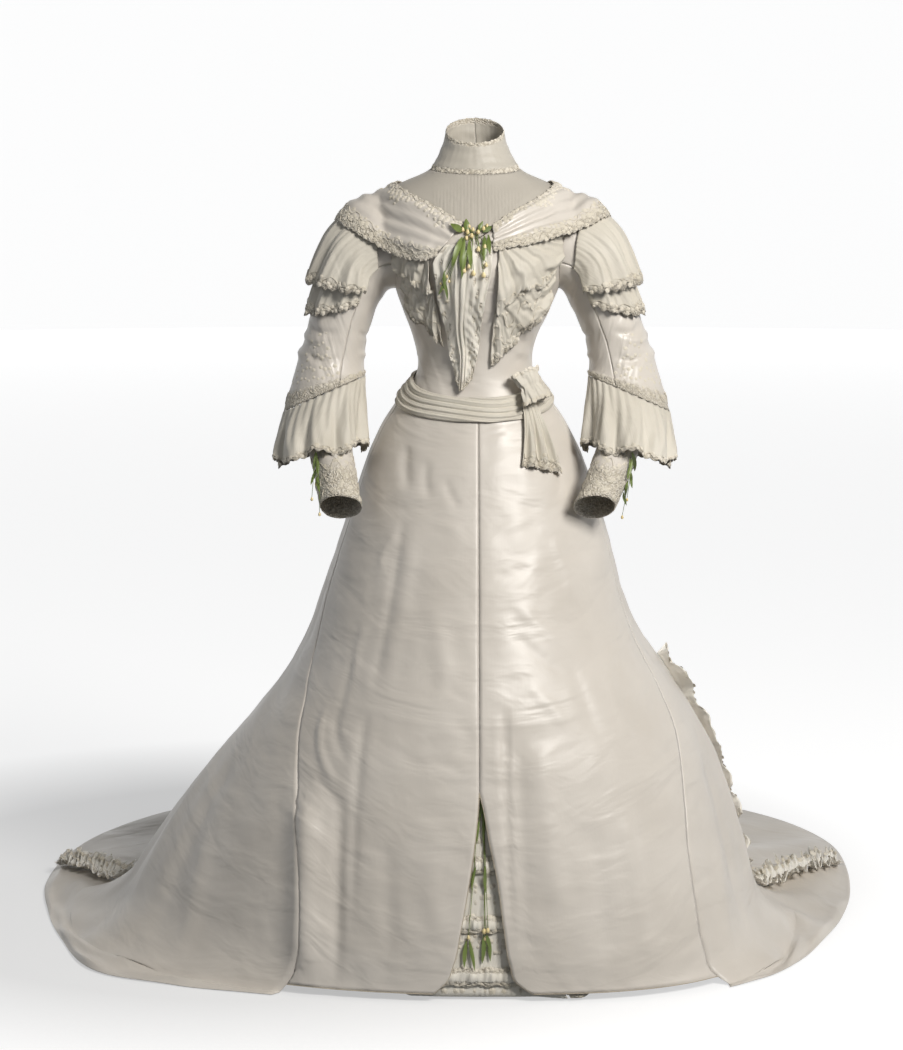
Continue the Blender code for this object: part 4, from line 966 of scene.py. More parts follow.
# Lace along the lower edge of a flounce: row, spacing, size and sway.
EDGE_LACE = [(0.955, 0.0095, 0.0048, 0.02), (0.90, 0.0160, 0.0052, 0.04)]


def gores():
    """Six gores; the side and back ones run on over the floor as the train."""
    front = bent(FRONT_CREASES, from_front)
    mirrored = [c._replace(x0=-c.x0, x1=-c.x1, x2=-c.x2) for c in SIDE_CREASES]
    sides = {1: bent(SIDE_CREASES, body), -1: bent(mirrored, body)}
    for side, name in ((-1, "left"), (1, "right")):

        def hang(p, u, v, s, t):
            total = along_lines(p, *front) + along_lines(p, *sides[side])
            total += ripple(p, 0.0008, 0.18, 3) + ripple(p, 0.0004, 0.05, 4)
            seam = np.exp(-(((u - 0.5) * 2) ** 2 - 1) ** 2 / 0.0009)
            return total * ease(v / 0.04) - 0.0006 * seam

        down = np.linspace(GORE_TOP, FRONT_HEM, FRONT_ROWS)
        height = 1 - down
        seam = read(SEAMS, "height", f"front_{name}", height)
        open_to = np.where(height < SLIT_TOP, slit_angle(height, side), 0.0)
        share = np.linspace(0, 1, FRONT_COLUMNS)[None, :]
        angle = side * (open_to[:, None] + (seam - open_to)[:, None] * share)
        rows = np.repeat(down[:, None], FRONT_COLUMNS, axis=1)
        p, n = skirt(angle, rows), skirt_normals(angle, rows)
        p = narrowed(p)
        made = cloth(f"skirt_front_{name}", p, n, LOOKS["satin"], "satin", "hung", detail=hang)
        edge, out = made[0][:, 0], made[1][:, 0]
        inward = unit(made[0][:, 1] - made[0][:, 0])
        hem = made[0][-1, 1:]
        path = np.concatenate([edge[height < SLIT_TOP] - out[height < SLIT_TOP] * 0.0005, hem])
        points, faces = cords([path], 0.0009, 6)
        trim = mesh_piece(f"piping_{name}", points, faces, LOOKS["cord"], "satin")
        SHEETS[f"skirt_front_{name}"]["with_pieces"].append(trim)
        if side > 0:
            shut = height > SEAM_START
            strip("seam_allowance_front", f"skirt_front_{name}", edge[shut], out[shut],
                  inward[shut])
        edge, out = made[0][:, -1], made[1][:, -1]
        inward = unit(made[0][:, -2] - made[0][:, -1])
        strip(f"seam_allowance_{name}", f"skirt_front_{name}", edge, out, inward)

        lying_rows = np.linspace(1.0, 2.0, LYING_ROWS)[1:]
        down = np.concatenate([np.linspace(GORE_TOP, 1.0, FALLING_ROWS), lying_rows])
        height = np.maximum(1 - down, 0)
        first = read(SEAMS, "height", f"front_{name}", height)
        back = read(SEAMS, "height", "back", height)
        gore_parts = (
            ("side", first, back, SIDE_COLUMNS),
            ("back", back, 180 + 0 * back, BACK_COLUMNS),
        )
        for part, start, end, count in gore_parts:
            share = np.linspace(0, 1, count)[None, :]
            angle = side * (start[:, None] + (end - start)[:, None] * share)
            rows = np.repeat(down[:, None], count, axis=1)
            from_seam = share if part == "side" else 1 + 0 * share
            p = on_floor_soft(skirt(angle, rows), rows, from_seam)
            p = narrowed(p)
            n = skirt_normals(angle, rows)

            def trail(p, u, v, s, t, angle=angle, rows=rows, part=part):
                lying = ease((rows - 0.97) / 0.10)
                free = ease(u * 5) if part == "side" else 1.0
                folds = np.sin(np.radians(angle * 9) + 1.3 * np.sin(rows * 5) + side)
                folds = folds + 0.6 * np.sin(np.radians(angle * 23) + rows * 4)
                run = 0.0048 * (1 + folds) * free * lying * ease((2.0 - rows) / 0.25 + 0.25)
                return hang(p, u, v, s, t) * (1 - lying) + run

            cloth(f"skirt_{part}_{name}", p, n, LOOKS["satin"], "satin", "draped", detail=trail)


def strip(name, node_name, edge, out, inward):
    """The pressed-open seam allowance behind a seam."""
    across = np.array([-0.008, -0.004, 0.0, 0.004, 0.008])
    p = edge[:, None] + inward[:, None] * across[None, :, None] - out[:, None] * (CLOTH + 0.0006)
    obj = mesh_piece(name, p.reshape(-1, 3), quads(*p.shape[:2]), LOOKS["satin"], "satin")
    SHEETS[node_name]["with_pieces"].append(obj)


def on_floor_soft(p, rows, share):
    """Rounds the turn where the skirt meets the floor, but not beside the front seam."""
    near = np.exp(-(((rows[:, :, None] - 1) / 0.05) ** 2)) * ease(share * 5)[..., None]
    q = p.copy()
    for _ in range(60):
        q[1:-1] = q[1:-1] * (1 - 0.5 * near[1:-1]) + (q[:-2] + q[2:]) * 0.25 * near[1:-1]
    return q


def bodice():
    """Front and back of the bodice, with armholes in their side edges, and the yoke above."""
    creases = bent(BODICE_CREASES, from_front)
    low = ARMHOLE_MIDDLE - ARMHOLE_HALF
    turns = np.radians(np.linspace(180, 0, 33))
    levels = ARMHOLE_MIDDLE + ARMHOLE_HALF * np.cos(turns)
    share = np.concatenate([(levels - low) / (SHOULDER_TOP - low), [1.0]])
    notch = np.concatenate([ARMHOLE_WIDTH * np.sin(turns), [0.0]])
    lower = np.linspace(0, 1, 52)[:-1]

    def panel(across, front):
        across = across[None, :]
        edge = 90 - notch if front else 90 + notch
        inside = 0.0 if front else 180.0
        upper_angle = inside + (edge[:, None] - inside) * np.abs(across)
        lower_angle = inside + (90 - inside) * np.abs(across) + 0 * lower[:, None]
        angle = np.concatenate([lower_angle, upper_angle]) * np.where(across < 0, -1, 1)
        start = waist(angle[: len(lower)])
        h_low = start + (low - start) * lower[:, None]
        h_up = low + share[:, None] * (neckline(angle[len(lower) :]) - low)
        return angle, np.concatenate([h_low, h_up])

    def folds(p, u, v, s, t):
        strap = np.abs((p[..., 0] + 0.127) - (1.130 - p[..., 2]) * 0.40) / 0.0115
        strap = ease((1.15 - strap) / 0.2) * ease((1.20 - p[..., 2]) / 0.02) * (p[..., 1] < 0)
        dart = (p[..., 1] > 0) * np.exp(-((np.abs(p[..., 0]) - 0.045) / 0.0025) ** 2)
        soft = along_lines(p, *creases) + 0.0014 * strap
        return soft + ripple(p, 0.0005, 0.05, 11) - 0.0008 * dart

    for name, across, front, side in (
        ("front", np.linspace(-1, 1, 81), True, 1),
        ("back_left", np.linspace(0, 1, 45), False, -1),
        ("back_right", np.linspace(0, 1, 45), False, 1),
    ):
        angle, height = panel(across, front)
        p = on_body(side * angle, height, np.zeros(angle.shape))
        p = narrowed(p, bottom=NECK_GAP)
        n = body_normals(side * angle, height)
        cloth(f"bodice_{name}", p, n, LOOKS["satin"], "satin", "stretched", detail=folds)

    def yoke(node, angles, tucks):
        angle, share = grid(angles, np.linspace(0, 1, 20))
        start = neckline(180 - np.abs(180 - np.abs(angle)))
        height = start + (collar_base(angle) - start) * share
        p = on_body(angle, height, np.zeros(angle.shape))
        p = narrowed(p, top=SEAM / 2, bottom=SEAM)

        def pintucks(p, u, v, s, t):
            wave = np.cos(p[..., 0] * 2 * math.pi / 0.0058) * 0.5 + 0.5
            return tucks * 0.0009 * wave**3 * ease((0.082 - np.abs(p[..., 0])) / 0.01)

        n = body_normals(angle, height)
        cloth(node, p, n, LOOKS["net"], "net", "stretched", detail=pintucks)

    yoke("yoke_front", np.linspace(-90, 90, 241), 1.0)
    yoke("yoke_back", np.linspace(90, 270, 101), 0.5)

    angle, share = grid(np.linspace(-179.8, 179.8, 121), np.linspace(0, 1, 30))
    p, n = collar(angle, share), normals(collar, angle, share, 0.5, 0.01)

    def rolls(p, u, v, s, t):
        tuck = (np.cos(np.radians(angle) * 84) * 0.5 + 0.5) ** 2 * 0.0004
        roll = 0.0006 * np.sin(v * math.pi * COLLAR_BANDS) ** 2
        return roll + ripple(p, 0.0003, 0.02, 5) + tuck * ease((v - 0.15) / 0.05)

    made = cloth("collar", p, n, LOOKS["collar"], "lace", "stretched", detail=rolls,
                 lace=bands(0.14, 0.12))
    rows = [(0.07, 0.0085, 0.0038, 0.03), (0.95, 0.0080, 0.0034, 0.02)]
    lacework("collar", made, rows, 31, 0.0008)


def sleeves():
    """Top and under sleeve, the narrow lower sleeve and the elbow frill."""
    for side, name in ((-1, "left"), (1, "right")):

        def place(turn, along, side=side):
            return sleeve(side, turn, along)

        creases = bent(SLEEVE_CREASES, place)

        def folds(p, u, v, s, t):
            band = np.exp(-(((v - 0.945) / 0.012) ** 2)) * 0.0016
            soft = 1.5 * along_lines(p, *creases) + ripple(p, 0.0006, 0.045, 21)
            return soft * ease(v / 0.1) + band

        for part, first, last, count in (("top", -112.5, 112.5, 58), ("under", 112.5, 247.5, 36)):
            turn, along = grid(np.linspace(first, last, count), np.linspace(0, 1, 80))
            p = sleeve(side, turn, along)
            n = round_normals(sleeve, side, turn, along)
            p = narrowed(p)
            made = cloth(f"sleeve_{part}_{name}", p, n, LOOKS["lace_mix"], "satin", "stretched",
                         detail=folds, lace=bands(0, 0.06))

            def motif(u, v, part=part, side=side):
                peak = 0.30 * np.exp(-(((u - 0.78) / 0.16) ** 2)) if part == "top" else 0.0
                return v > 0.93 - peak

            rows = [(v, 0.0085, 0.0044, 0.012) for v in (0.66, 0.72, 0.78, 0.84, 0.89)]
            if part == "top":
                lacework(f"sleeve_{part}_{name}", made, rows, 37, name=f"motif_{name}", keep=motif)
            lacework(f"sleeve_{part}_{name}", made, [(0.955, 0.0095, 0.0042, 0.014)], 38)
        turn, along = grid(np.arange(0, 360, 6), np.linspace(0, 1, 44))
        p = cuff_tube(side, turn, along)
        n = round_normals(cuff_tube, side, turn, along)
        p[-1] += n[-1] * 0.0006

        def cuff_folds(p, u, v, s, t):
            return ripple(p, 0.0008, 0.03, 23) + 0.0009 * np.exp(-(((v - 0.97) / 0.02) ** 2))

        made = cloth(f"cuff_{name}", p, n, LOOKS["lace_mix"], "lace", "stretched", closed=True,
                     detail=cuff_folds, lace=bands(0.12, 0.20, 0.08))
        rows = [(v, 0.0100, 0.0050, 0.03) for v in (0.70, 0.79, 0.88, 0.955)]
        lacework(f"cuff_{name}", made, rows, 41)
        waves = 9
        turn, along = grid(np.arange(0, 360, 2), np.linspace(0, 1, 28))
        n = round_normals(frill_tube, side, turn, along)
        t = np.radians(turn)
        wave = np.sin(t * waves) * 0.0062 * ease(along * 1.2)
        wave = wave + np.sin(t * 31 + 2 * np.sin(along * 4)) * 0.0011 * (1 - 0.5 * along)
        wave = wave + np.sin(t * 17 + 1 + along * 2) * 0.0022 * ease(along * 1.5)
        p = frill_tube(side, turn, along) + n * wave[..., None]
        p[..., 2] += 0.006 * np.sin(t * 5 + 0.7) * ease((along - 0.7) / 0.3)
        p = ragged(p, along, 0.016, 0.0050, 0.92)
        made = cloth(f"elbow_frill_{name}", p, n, LOOKS["chiffon_mix"], "chiffon", "gathered",
                     closed=True, lace=bands(0, 0.06))
        lacework(f"elbow_frill_{name}", made, EDGE_LACE[:1], 62, 0.0014)


def caps():
    """Two tiers of flounce over each upper arm."""
    for side, name in ((-1, "left"), (1, "right")):
        for tier in CAP_TIERS:
            turn, share = grid(np.linspace(-120, 112, 150), np.linspace(0, 1, 32))
            top = read(CAPS, "turn", f"top_{tier.place}", turn)
            bottom = read(CAPS, "turn", f"bottom_{tier.place}", turn)
            along = top + (bottom - top) * share
            n = round_normals(sleeve, side, turn, along)
            phase = (turn + 120) / 232 * 2 * math.pi
            wave = np.sin(phase * CAP_WAVES)
            warp = 1.6 * np.sin(share * 3 + phase * 2.3) + 1.1 * np.sin(phase * 5.7 + side)
            fine = np.sin(phase * 33 + warp * 1.5) * 0.0006 * (1 - 0.5 * share)
            fine = fine + np.sin(phase * 15 + warp) * 0.0017 * ease(share * 1.4)
            wave = wave * (0.75 + 0.4 * np.sin(phase * 1.7 + 1))
            wave = wave + 0.3 * np.sin(phase * 4.3 + share * 2)
            off = tier.start + (tier.lift - tier.start) * ease(share * 0.9 + 0.05)
            off = off + wave * tier.wave * ease(share * 1.15) + np.maximum(fine, -0.001)
            p = sleeve(side, turn, along) + n * off[..., None]
            p = ragged(p, share, 0.017, 0.0060, 0.90)
            name_ = f"{tier.node}_{name}"
            made = cloth(name_, p, n, LOOKS["chiffon_mix"], "chiffon", "gathered",
                         lace=bands(0, 0.10))
            lacework(name_, made, EDGE_LACE, 61, 0.0014)


def chest():
    """Gathered flounces on the chest, the centre jabot, and the bertha over their upper edges."""
    for side, name, start in ((-1, "left", FLOUNCE_START_LEFT), (1, "right", FLOUNCE[0].angle)):
        end = FLOUNCE[-1].angle
        angle, share = grid(np.linspace(start, end, 86), np.linspace(0, 1, 64))
        top = read(FLOUNCE, "angle", "top", angle)
        bottom = read(FLOUNCE, "angle", "bottom", angle)
        height = top + (bottom - top) * share
        phase = (angle - start) / (end - start)
        ledge = 0.50 + 0.05 * np.sin(phase * 9 + side) + 0.02 * np.sin(phase * 31)
        lower = share > ledge
        part = np.where(lower, (share - ledge) / (1 - ledge), share / ledge)
        deep = np.where(lower, 0.062, 0.070)
        fan = np.arctan2((phase + 0.05) * 0.105, part * deep + 0.022)
        warp = 0.9 * np.sin(part * 5 + phase * 5 + side + 2 * lower)
        warp = warp + 0.5 * np.sin(part * 13 + phase * 9)
        wave = np.sin(fan * 13 + warp * 0.8 + 3 * lower) * FLOUNCE_WAVE * ease(part * 1.3)
        wave = wave * (0.8 + 0.5 * np.sin(phase * 7 + share * 3))
        fine = np.sin(fan * 62 + 1.6 * warp) * 0.0009 * (1 - 0.4 * part)
        fine = fine + np.sin(fan * 27 + warp) * 0.0015
        rim = 0.0016 * np.sin(phase * 75 + 2 * np.sin(phase * 17)) * ease((part - 0.75) / 0.25)
        off = SEWN + CHIFFON + (FLOUNCE_LIFT - SEWN) * ease(part * 1.1 + 0.1)
        off = off + wave + fine + rim
        n = body_normals(side * angle, height)
        p = on_body(side * angle, height, off)
        p = ragged(p, share, 0.014, 0.0050, 0.92)
        p = laid_on(p, n, trees("bodice_front"), CHIFFON + SEWN)
        made = cloth(f"chest_flounce_{name}", p, n, LOOKS["chiffon_mix"], "chiffon", "gathered",
                     lace=bands(0, 0.05))
        rows = [(0.95, 0.0085, 0.0042, 0.02), (0.46, 0.0100, 0.0042, 0.03),
                (0.84, 0.0160, 0.0050, 0.05), (0.66, 0.0180, 0.0046, 0.08)]
        lacework(f"chest_flounce_{name}", made, rows, 47, 0.0013)

    across, height = grid(np.linspace(0, 1, 76), np.linspace(1.240, 0.988, 78))
    start = read(JABOT, "height", "start", height)
    end = read(JABOT, "height", "end", height)
    angle = start + (end - start) * across
    point = 0.030 * np.clip((np.abs(angle - JABOT_POINT) - 1) / 9, 0, 1)
    point = point * ease((1.08 - height) / 0.09)
    drop = (1.240 - height) / 0.252
    middle = across - 0.47 - 0.03 * np.sin(drop * 9)
    column = np.exp(-((middle / (0.17 - 0.05 * drop)) ** 4))
    warp = 1.3 * np.sin(drop * 8 + across * 2) + 0.7 * np.sin(drop * 19 + across * 7)
    folds = np.sin(middle * 52 + 0.8 * warp) * 0.0018 + np.sin(middle * 120 + warp) * 0.0005
    shell = np.sin(drop * 16 - 9 * np.abs(middle) + 0.5 * np.sin(across * 11)) * JABOT_WAVE * 0.55
    shell = shell + np.sin(drop * 92 - 40 * np.abs(middle) ** 1.5 + warp) * 0.0007
    shell = shell + np.sin(drop * 41 + 25 * middle + warp * 1.4) * 0.0006
    shell = shell * ease((drop - 0.28) / 0.15)
    shell = shell + np.sin(across * 39 + warp) * 0.0016 * ease((0.5 - drop) / 0.2)
    wave = column * (0.0034 + folds) + (1 - column) * shell
    wave = wave * ease((1.26 - height) / 0.06)
    off = SEWN + CHIFFON + JABOT_LIFT * ease((1.25 - height) / 0.05 + 0.2) + wave
    n = body_normals(angle, height + point)
    p = laid_on(on_body(angle, height + point, off), n, trees("bodice_front"), CHIFFON + SEWN)

    def scattered(u, v):
        dots = np.sin(u * 31 + 4 * v) * np.sin(v * 37 + 3 * u)
        dots = ease((dots - 0.55) / 0.2) * ease((np.abs(u - 0.47) - 0.2) / 0.08)
        return np.maximum(dots, bands(0, 0.07)(u, v))

    made = cloth("jabot", p, n, LOOKS["ruffle"], "chiffon", "gathered", lace=scattered)

    def beside(u, v):
        return (np.abs(u - 0.47) > 0.25) & (v > 0.30)

    rows = [(v, 0.011, 0.0040, 0.03) for v in (0.36, 0.48, 0.60, 0.70, 0.80, 0.90)]
    lacework("jabot", made, rows, 48, 0.0013, keep=beside)

    for side, name in ((-1, "left"), (1, "right")):
        s, r = grid(np.linspace(0, 1, 150), np.linspace(0, 1, 36))
        row = np.linspace(0, 1, len(BERTHA))
        angle = side * curve(row, [b.angle for b in BERTHA], s)
        top = on_body(angle, neckline(angle) + 0.004, np.full(s.shape, 0.0012))
        keys = (f"{name}_x", "y", f"{name}_height")
        end = [curve(row, [getattr(b, key) for b in BERTHA], s) for key in keys]
        end = np.stack([side * end[0], end[1], end[2]], axis=-1)
        p = top * (1 - r[..., None]) + end * r[..., None]
        line = unit(p - BERTHA_FOCUS * np.array([side, 1, 1]))
        backs = [f"{n}_{name}" for n in ("bodice_back", "sleeve_top", "sleeve_under", "cap_frill")]
        fronts = [f"{n}_{name}" for n in ("cap_flounce", "chest_flounce")]
        found = trees("bodice_front", "yoke_front", "yoke_back", "jabot", *backs, *fronts)
        p = laid_on(p, line, found, BERTHA_GAP + CLOTH, soft=4)
        fold = curve(np.linspace(0, 1, 5), BERTHA_FOLDS, r)
        fold = fold + 0.0016 * np.sin(r * 31 + 2.2 * np.sin(s * 9)) * np.sin(math.pi * r)
        p = p + line * fold[..., None]
        p = ragged(p, r, 0.012, 0.0035, 0.9)
        made = cloth(f"bertha_{name}", p, line, LOOKS["lace_mix"], "lace", "draped",
                     lace=bands(0.05, 0.16, 0.06))

        def broad(u, v):
            return v < 0.26 + 0.09 * np.sin(u * 29 + side) - 0.10 * ease((u - 0.5) / 0.3)

        rows = [(v, 0.0105, 0.0052, 0.02) for v in (0.12, 0.19, 0.26, 0.33)]
        lacework(f"bertha_{name}", made, rows, 44, 0.0014, name=f"neck_lace_{name}", keep=broad)
        rows = [(0.05, 0.0095, 0.0044, 0.03), (0.80, 0.0105, 0.0054, 0.03),
                (0.88, 0.0100, 0.0052, 0.03), (0.95, 0.0085, 0.0042, 0.02)]
        lacework(f"bertha_{name}", made, rows, 43)


def sash():
    """The pleated sash with its knot and hanging tail."""
    angle, share = grid(np.arange(-180, 180, 3), np.linspace(-1, 1, 36))
    height = SASH_MIDDLE - SASH_TILT * np.cos(np.radians(angle)) + SASH_HALF * share
    off = SASH_LIFT + SASH_PLEAT * 0.55 * (1 - share**8)
    pleat = share * 13 + 2.4 * np.sin(np.radians(angle * 2 + 40))
    pleat = pleat + 1.3 * np.sin(np.radians(angle * 5))
    off = off + 0.0015 * np.sin(pleat) + 0.0009 * np.sin(pleat * 2.3 + 1)
    p = on_body(angle, height, off - 0.0012 * np.abs(share) ** 6)
    n = body_normals(angle, height)
    cloth("sash", p, n, LOOKS["chiffon"], "chiffon", "folded", closed=True)

    across, share = grid(np.linspace(-1, 1, 56), np.linspace(0, 1, 44))
    height = 0.972 - 0.114 * share - 0.008 * across * share
    angle = 40.0 - 5.5 * share + across * (6.0 + 5.5 * share)
    wave = np.sin(across * math.pi * 3.0) * (0.0030 + 0.0034 * share)
    fine = np.sin(across * 31 + share * 3) * 0.0006 + np.sin(across * 17 + 1) * 0.0007
    off = 0.0084 - 0.0020 * ease(share * 2 - 0.5) + wave * ease(share * 2 - 0.4) + CHIFFON + fine
    n = body_normals(angle, height)
    found = trees("sash", "skirt_front_right")
    p = laid_on(on_body(angle, height, off), n, found, CLOTH + SEWN)
    p = ragged(p, share, 0.010, 0.0030, 0.9)
    made = cloth("sash_tail", p, n, LOOKS["chiffon_mix"], "chiffon", "hung", lace=bands(0, 0.12))
    rows = [(0.95, 0.0085, 0.0046, 0.02), (0.84, 0.0120, 0.0046, 0.04)]
    lacework("sash_tail", made, rows, 63, 0.0014)

    knot = np.array(KNOT_ANGLE)
    middle = body(knot, np.array(KNOT_HEIGHT))
    n = body_normals(knot, np.array(KNOT_HEIGHT))
    up = unit(body(knot, np.array(KNOT_HEIGHT + 0.024)) - body(knot, np.array(KNOT_HEIGHT - 0.024)))
    side = unit(np.cross(up, n))
    turn, along = grid(np.arange(0, 360, 5), np.linspace(-1, 1, 30))
    t = np.radians(turn)
    size = (1 + 0.22 * along**2) * (1 + 0.08 * np.cos(5 * t) * np.abs(along))
    tied = 0.16 * ease((along + 0.3) / 0.3) * ease((0.3 - along) / 0.3)
    size = size * (1 + 0.10 * np.cos(7 * t + 3 * along) + 0.05 * np.cos(13 * t + 2) - tied)
    out = KNOT_DEEP * size * np.cos(t) + KNOT_OUT
    flat, tall = KNOT_WIDE * size * np.sin(t), KNOT_TALL * along
    p = middle + out[..., None] * n + flat[..., None] * side + tall[..., None] * up
    round_ = np.cos(t)[..., None] * n + np.sin(t)[..., None] * side
    found = trees("sash", "sash_tail", "bodice_front", "skirt_front_right")
    most = max(reach(at, n, found, 0.0) for at in p[::3, ::3].reshape(-1, 3))
    p = p + n * (most + SEAT_GAP)
    made = cloth("sash_knot", p, round_, LOOKS["chiffon_mix"], "chiffon", "gathered", closed=True)
    rows = [(v, 0.0080, 0.0048, 0.02) for v in (0.05, 0.95)]
    lacework("sash_knot", made, rows, 64, 0.0014)


def inset():
    """The panel behind the slit, its ruched tiers and the lace strip of the hem."""

    def at(angle, height, off):
        p = on_body(angle, height, off)
        p[..., 2] = height + SATIN * np.clip(1 - height / 0.3, 0, 1)
        return p

    def depth(angle, height):
        across = np.clip(1 - (np.abs(angle) / INSET_ANGLE) ** 2, 0, 1)
        return -SATIN - INSET_DEPTH * ease(across * 1.6) * ease((INSET_TOP - height) / 0.10)

    fronts = trees("skirt_front_left", "skirt_front_right")
    levels = np.linspace(HEM_CLEAR, INSET_TOP, 48)
    angle, height = grid(np.linspace(-INSET_ANGLE, INSET_ANGLE, 72), levels)
    height = np.maximum(height, HEM_CLEAR + STRIP_HIGH * ease((-angle - 9) / 6))
    n = level_normals(angle, height)
    p = laid_on(at(angle, height, depth(angle, height)), -n, fronts, SEWN + SATIN, 0.05)

    def gathers(p, u, v, s, t):
        gather = 0.0009 * (1 + np.sin(angle * 7 + 2 * np.sin(height * 22)))
        return -gather - 0.0006 * np.sin(angle * 16 + 1)

    made = cloth("underskirt_front", p, n, LOOKS["ruffle"], "chiffon", "hung", detail=gathers)

    def in_slit(u, v):
        wide = np.interp(HEM_CLEAR + v * (INSET_TOP - HEM_CLEAR), *zip(*SEEN))
        return (np.abs(u - 0.5) * 2 * INSET_ANGLE < wide) | ((v < 0.06) & (u > 0.5))

    rows = [(v, 0.010, 0.0060, 0.022) for v in INSET_LACE]
    lacework("underskirt_front", made, rows, 52, 0.0013, keep=in_slit)
    for i, tier in enumerate(TIERS):
        a, share = grid(np.linspace(-tier.half_angle, tier.half_angle, 90), np.linspace(0, 1, 20))
        h = tier.height - tier.drop * share + 0.003 * np.sin(a * 1.7 + i) * (share - 0.5)
        n = level_normals(a, h)
        found = trees("underskirt_front")
        back = laid_on(at(a, h, depth(a, h) - 0.005), n, found, SEWN + CLOTH, 0.05)
        wave = np.sin((a / tier.half_angle + 1) * math.pi * TIER_WAVES)
        fine = 0.0010 * np.sin((a / tier.half_angle) * 44 + 3 * share)
        puff = np.sin(math.pi * share) * (TIER_PUFF + TIER_WAVE * wave + fine)
        p = back + n * puff[..., None]
        made = cloth(f"slit_tier_{i + 1}", p, n, LOOKS["ruffle"], "chiffon", "gathered",
                     lace=bands(0.25, 0.3))
        rows = [(0.12, 0.0085, 0.0052, 0.05), (0.88, 0.0085, 0.0056, 0.05)]
        lacework(f"slit_tier_{i + 1}", made, rows, 65 + i, 0.0013)
    strip_top = HEM_CLEAR + STRIP_HIGH
    levels = np.linspace(HEM_CLEAR, strip_top, 14)
    a, h = grid(np.linspace(INSET_ANGLE + 0.50, STRIP_END, 80), levels)
    lifted = ease((a - 17) / 7)
    tuck = 0.004 * (1 - h / strip_top)
    h = h + 0.030 * lifted
    n = level_normals(a, h)
    p = laid_on(at(a, h, -SATIN - tuck), -n, fronts, SEWN + SATIN, 0.05)
    p = p - n * 0.008 * lifted[..., None]
    made = cloth("underskirt_hem", p, n, LOOKS["ruffle"], "lace", "hung", lace=np.ones(h.shape))
    rows = [(0.2, 0.012, 0.0055, 0.08), (0.6, 0.012, 0.0055, 0.1)]
    lacework("underskirt_hem", made, rows, 53)


def garlands():
    """A ruffle down the side back of the skirt and across the train, sewn along its middle."""
    for side, name in ((-1, "left"), (1, "right")):
        along = np.linspace(GARLAND[0].along, GARLAND[-1].along, 260)
        across, down = grid(np.linspace(-1, 1, 20), along)
        steps = (down - GARLAND[0].along) * 64
        side_phase = np.where(across > 0, 0, math.pi / 2)
        wave = np.sin(steps * math.pi / 2 + side_phase + 1.1 * np.sin(steps * 0.41 + side))
        wave = wave * (0.8 + 0.35 * np.sin(steps * 0.23 + 2))
        fine = 0.10 * np.sin(steps * 2.2 + across * 3) + 0.05 * np.sin(steps * 3.3 + 1 + across)
        angle = read(GARLAND, "along", name, down)
        half = read(GARLAND, "along", "half", down) * (1 + 0.10 * np.sin(steps * 1.9 + 1))
        degree = skirt(side * (angle + 1), down) - skirt(side * angle, down)
        degree = np.linalg.norm(degree, axis=-1)
        sway = np.sin(steps * 1.1 + 1.6 * np.sin(steps * 0.33))
        sway = sway + 0.14 * np.sin(steps * 2.6 + side_phase)
        sway = sway * 0.42 * half * np.abs(across) ** 1.5
        angle = side * (angle + (across * half + sway) / np.maximum(degree, 1e-4))
        low = 1 - 0.6 * np.exp(-(((down - 1) / 0.06) ** 2))
        lift = GARLAND_LIFT * low * np.clip(np.abs(across) - 0.15, 0, 1) ** 0.8
        lift = lift * (1.0 + 0.38 * wave + fine)
        n = skirt_normals(angle, down)
        level = ease((down - 0.92) / 0.16)[..., None]
        n = unit(n * (1 - level) + np.array([0, 0, 1.0]) * level)
        found = trees(f"skirt_side_{name}", f"skirt_back_{name}")
        p = laid_on(skirt(angle, down) - n * 0.008, n, found, CLOTH + SEWN, 0.03)
        p = p + n * lift[..., None]

        def edges(u, v):
            return ease((np.abs(u - 0.5) - 0.34) / 0.06)

        made = cloth(f"train_ruffle_{name}", p, n, LOOKS["garland"], "chiffon", "gathered",
                     lace=edges)
        turned = tuple(np.swapaxes(m, 0, 1) for m in made)
        rows = [(v, 0.016, 0.0064, 0.05) for v in (0.07, 0.28, 0.93)]
        lacework(f"train_ruffle_{name}", turned, rows, 59, 0.0018)


def frames(ways, turns):
    """Two directions across each normal, turned round it."""
    side = unit(np.cross(ways, np.array([0.3, 0.1, 1.0])))
    up = np.cross(ways, side)
    c, s = np.cos(turns)[:, None], np.sin(turns)[:, None]
    return side * c + up * s, up * c - side * s


def rosettes(points, ways, sizes, high, seed, petals=5):
    """Small raised flowers of lace, each on its own place."""
    rng = np.random.default_rng(seed)
    turn = np.linspace(0, 2 * math.pi, 3 * petals, endpoint=False)
    lobe = 0.70 + 0.30 * np.abs(np.cos(turn * petals / 2))
    ring = np.array([0.02, 0.50, 1.0])[:, None]
    rise = np.array([1.0, 0.85, -0.5])[:, None]
    flat = ring * (1 + (lobe - 1) * ring)
    x, y = flat * np.cos(turn), flat * np.sin(turn)
    z = rise * np.ones_like(turn) * (0.8 + 0.2 * np.cos(turn * petals))
    a, b = frames(ways, rng.uniform(0, 6.3, len(points)))
    size = np.asarray(sizes)[:, None, None]
    x, y, z = (m.ravel()[None, :, None] for m in (x, y, z))
    p = points[:, None] + size * (x * a[:, None] + y * b[:, None]) + z * high * ways[:, None]
    n = len(turn)
    flower = quads(3, n, True)[:, FLIPPED]
    faces = (flower[None] + (np.arange(len(points)) * 3 * n)[:, None, None]).reshape(-1, 4)
    return p.reshape(-1, 3), faces


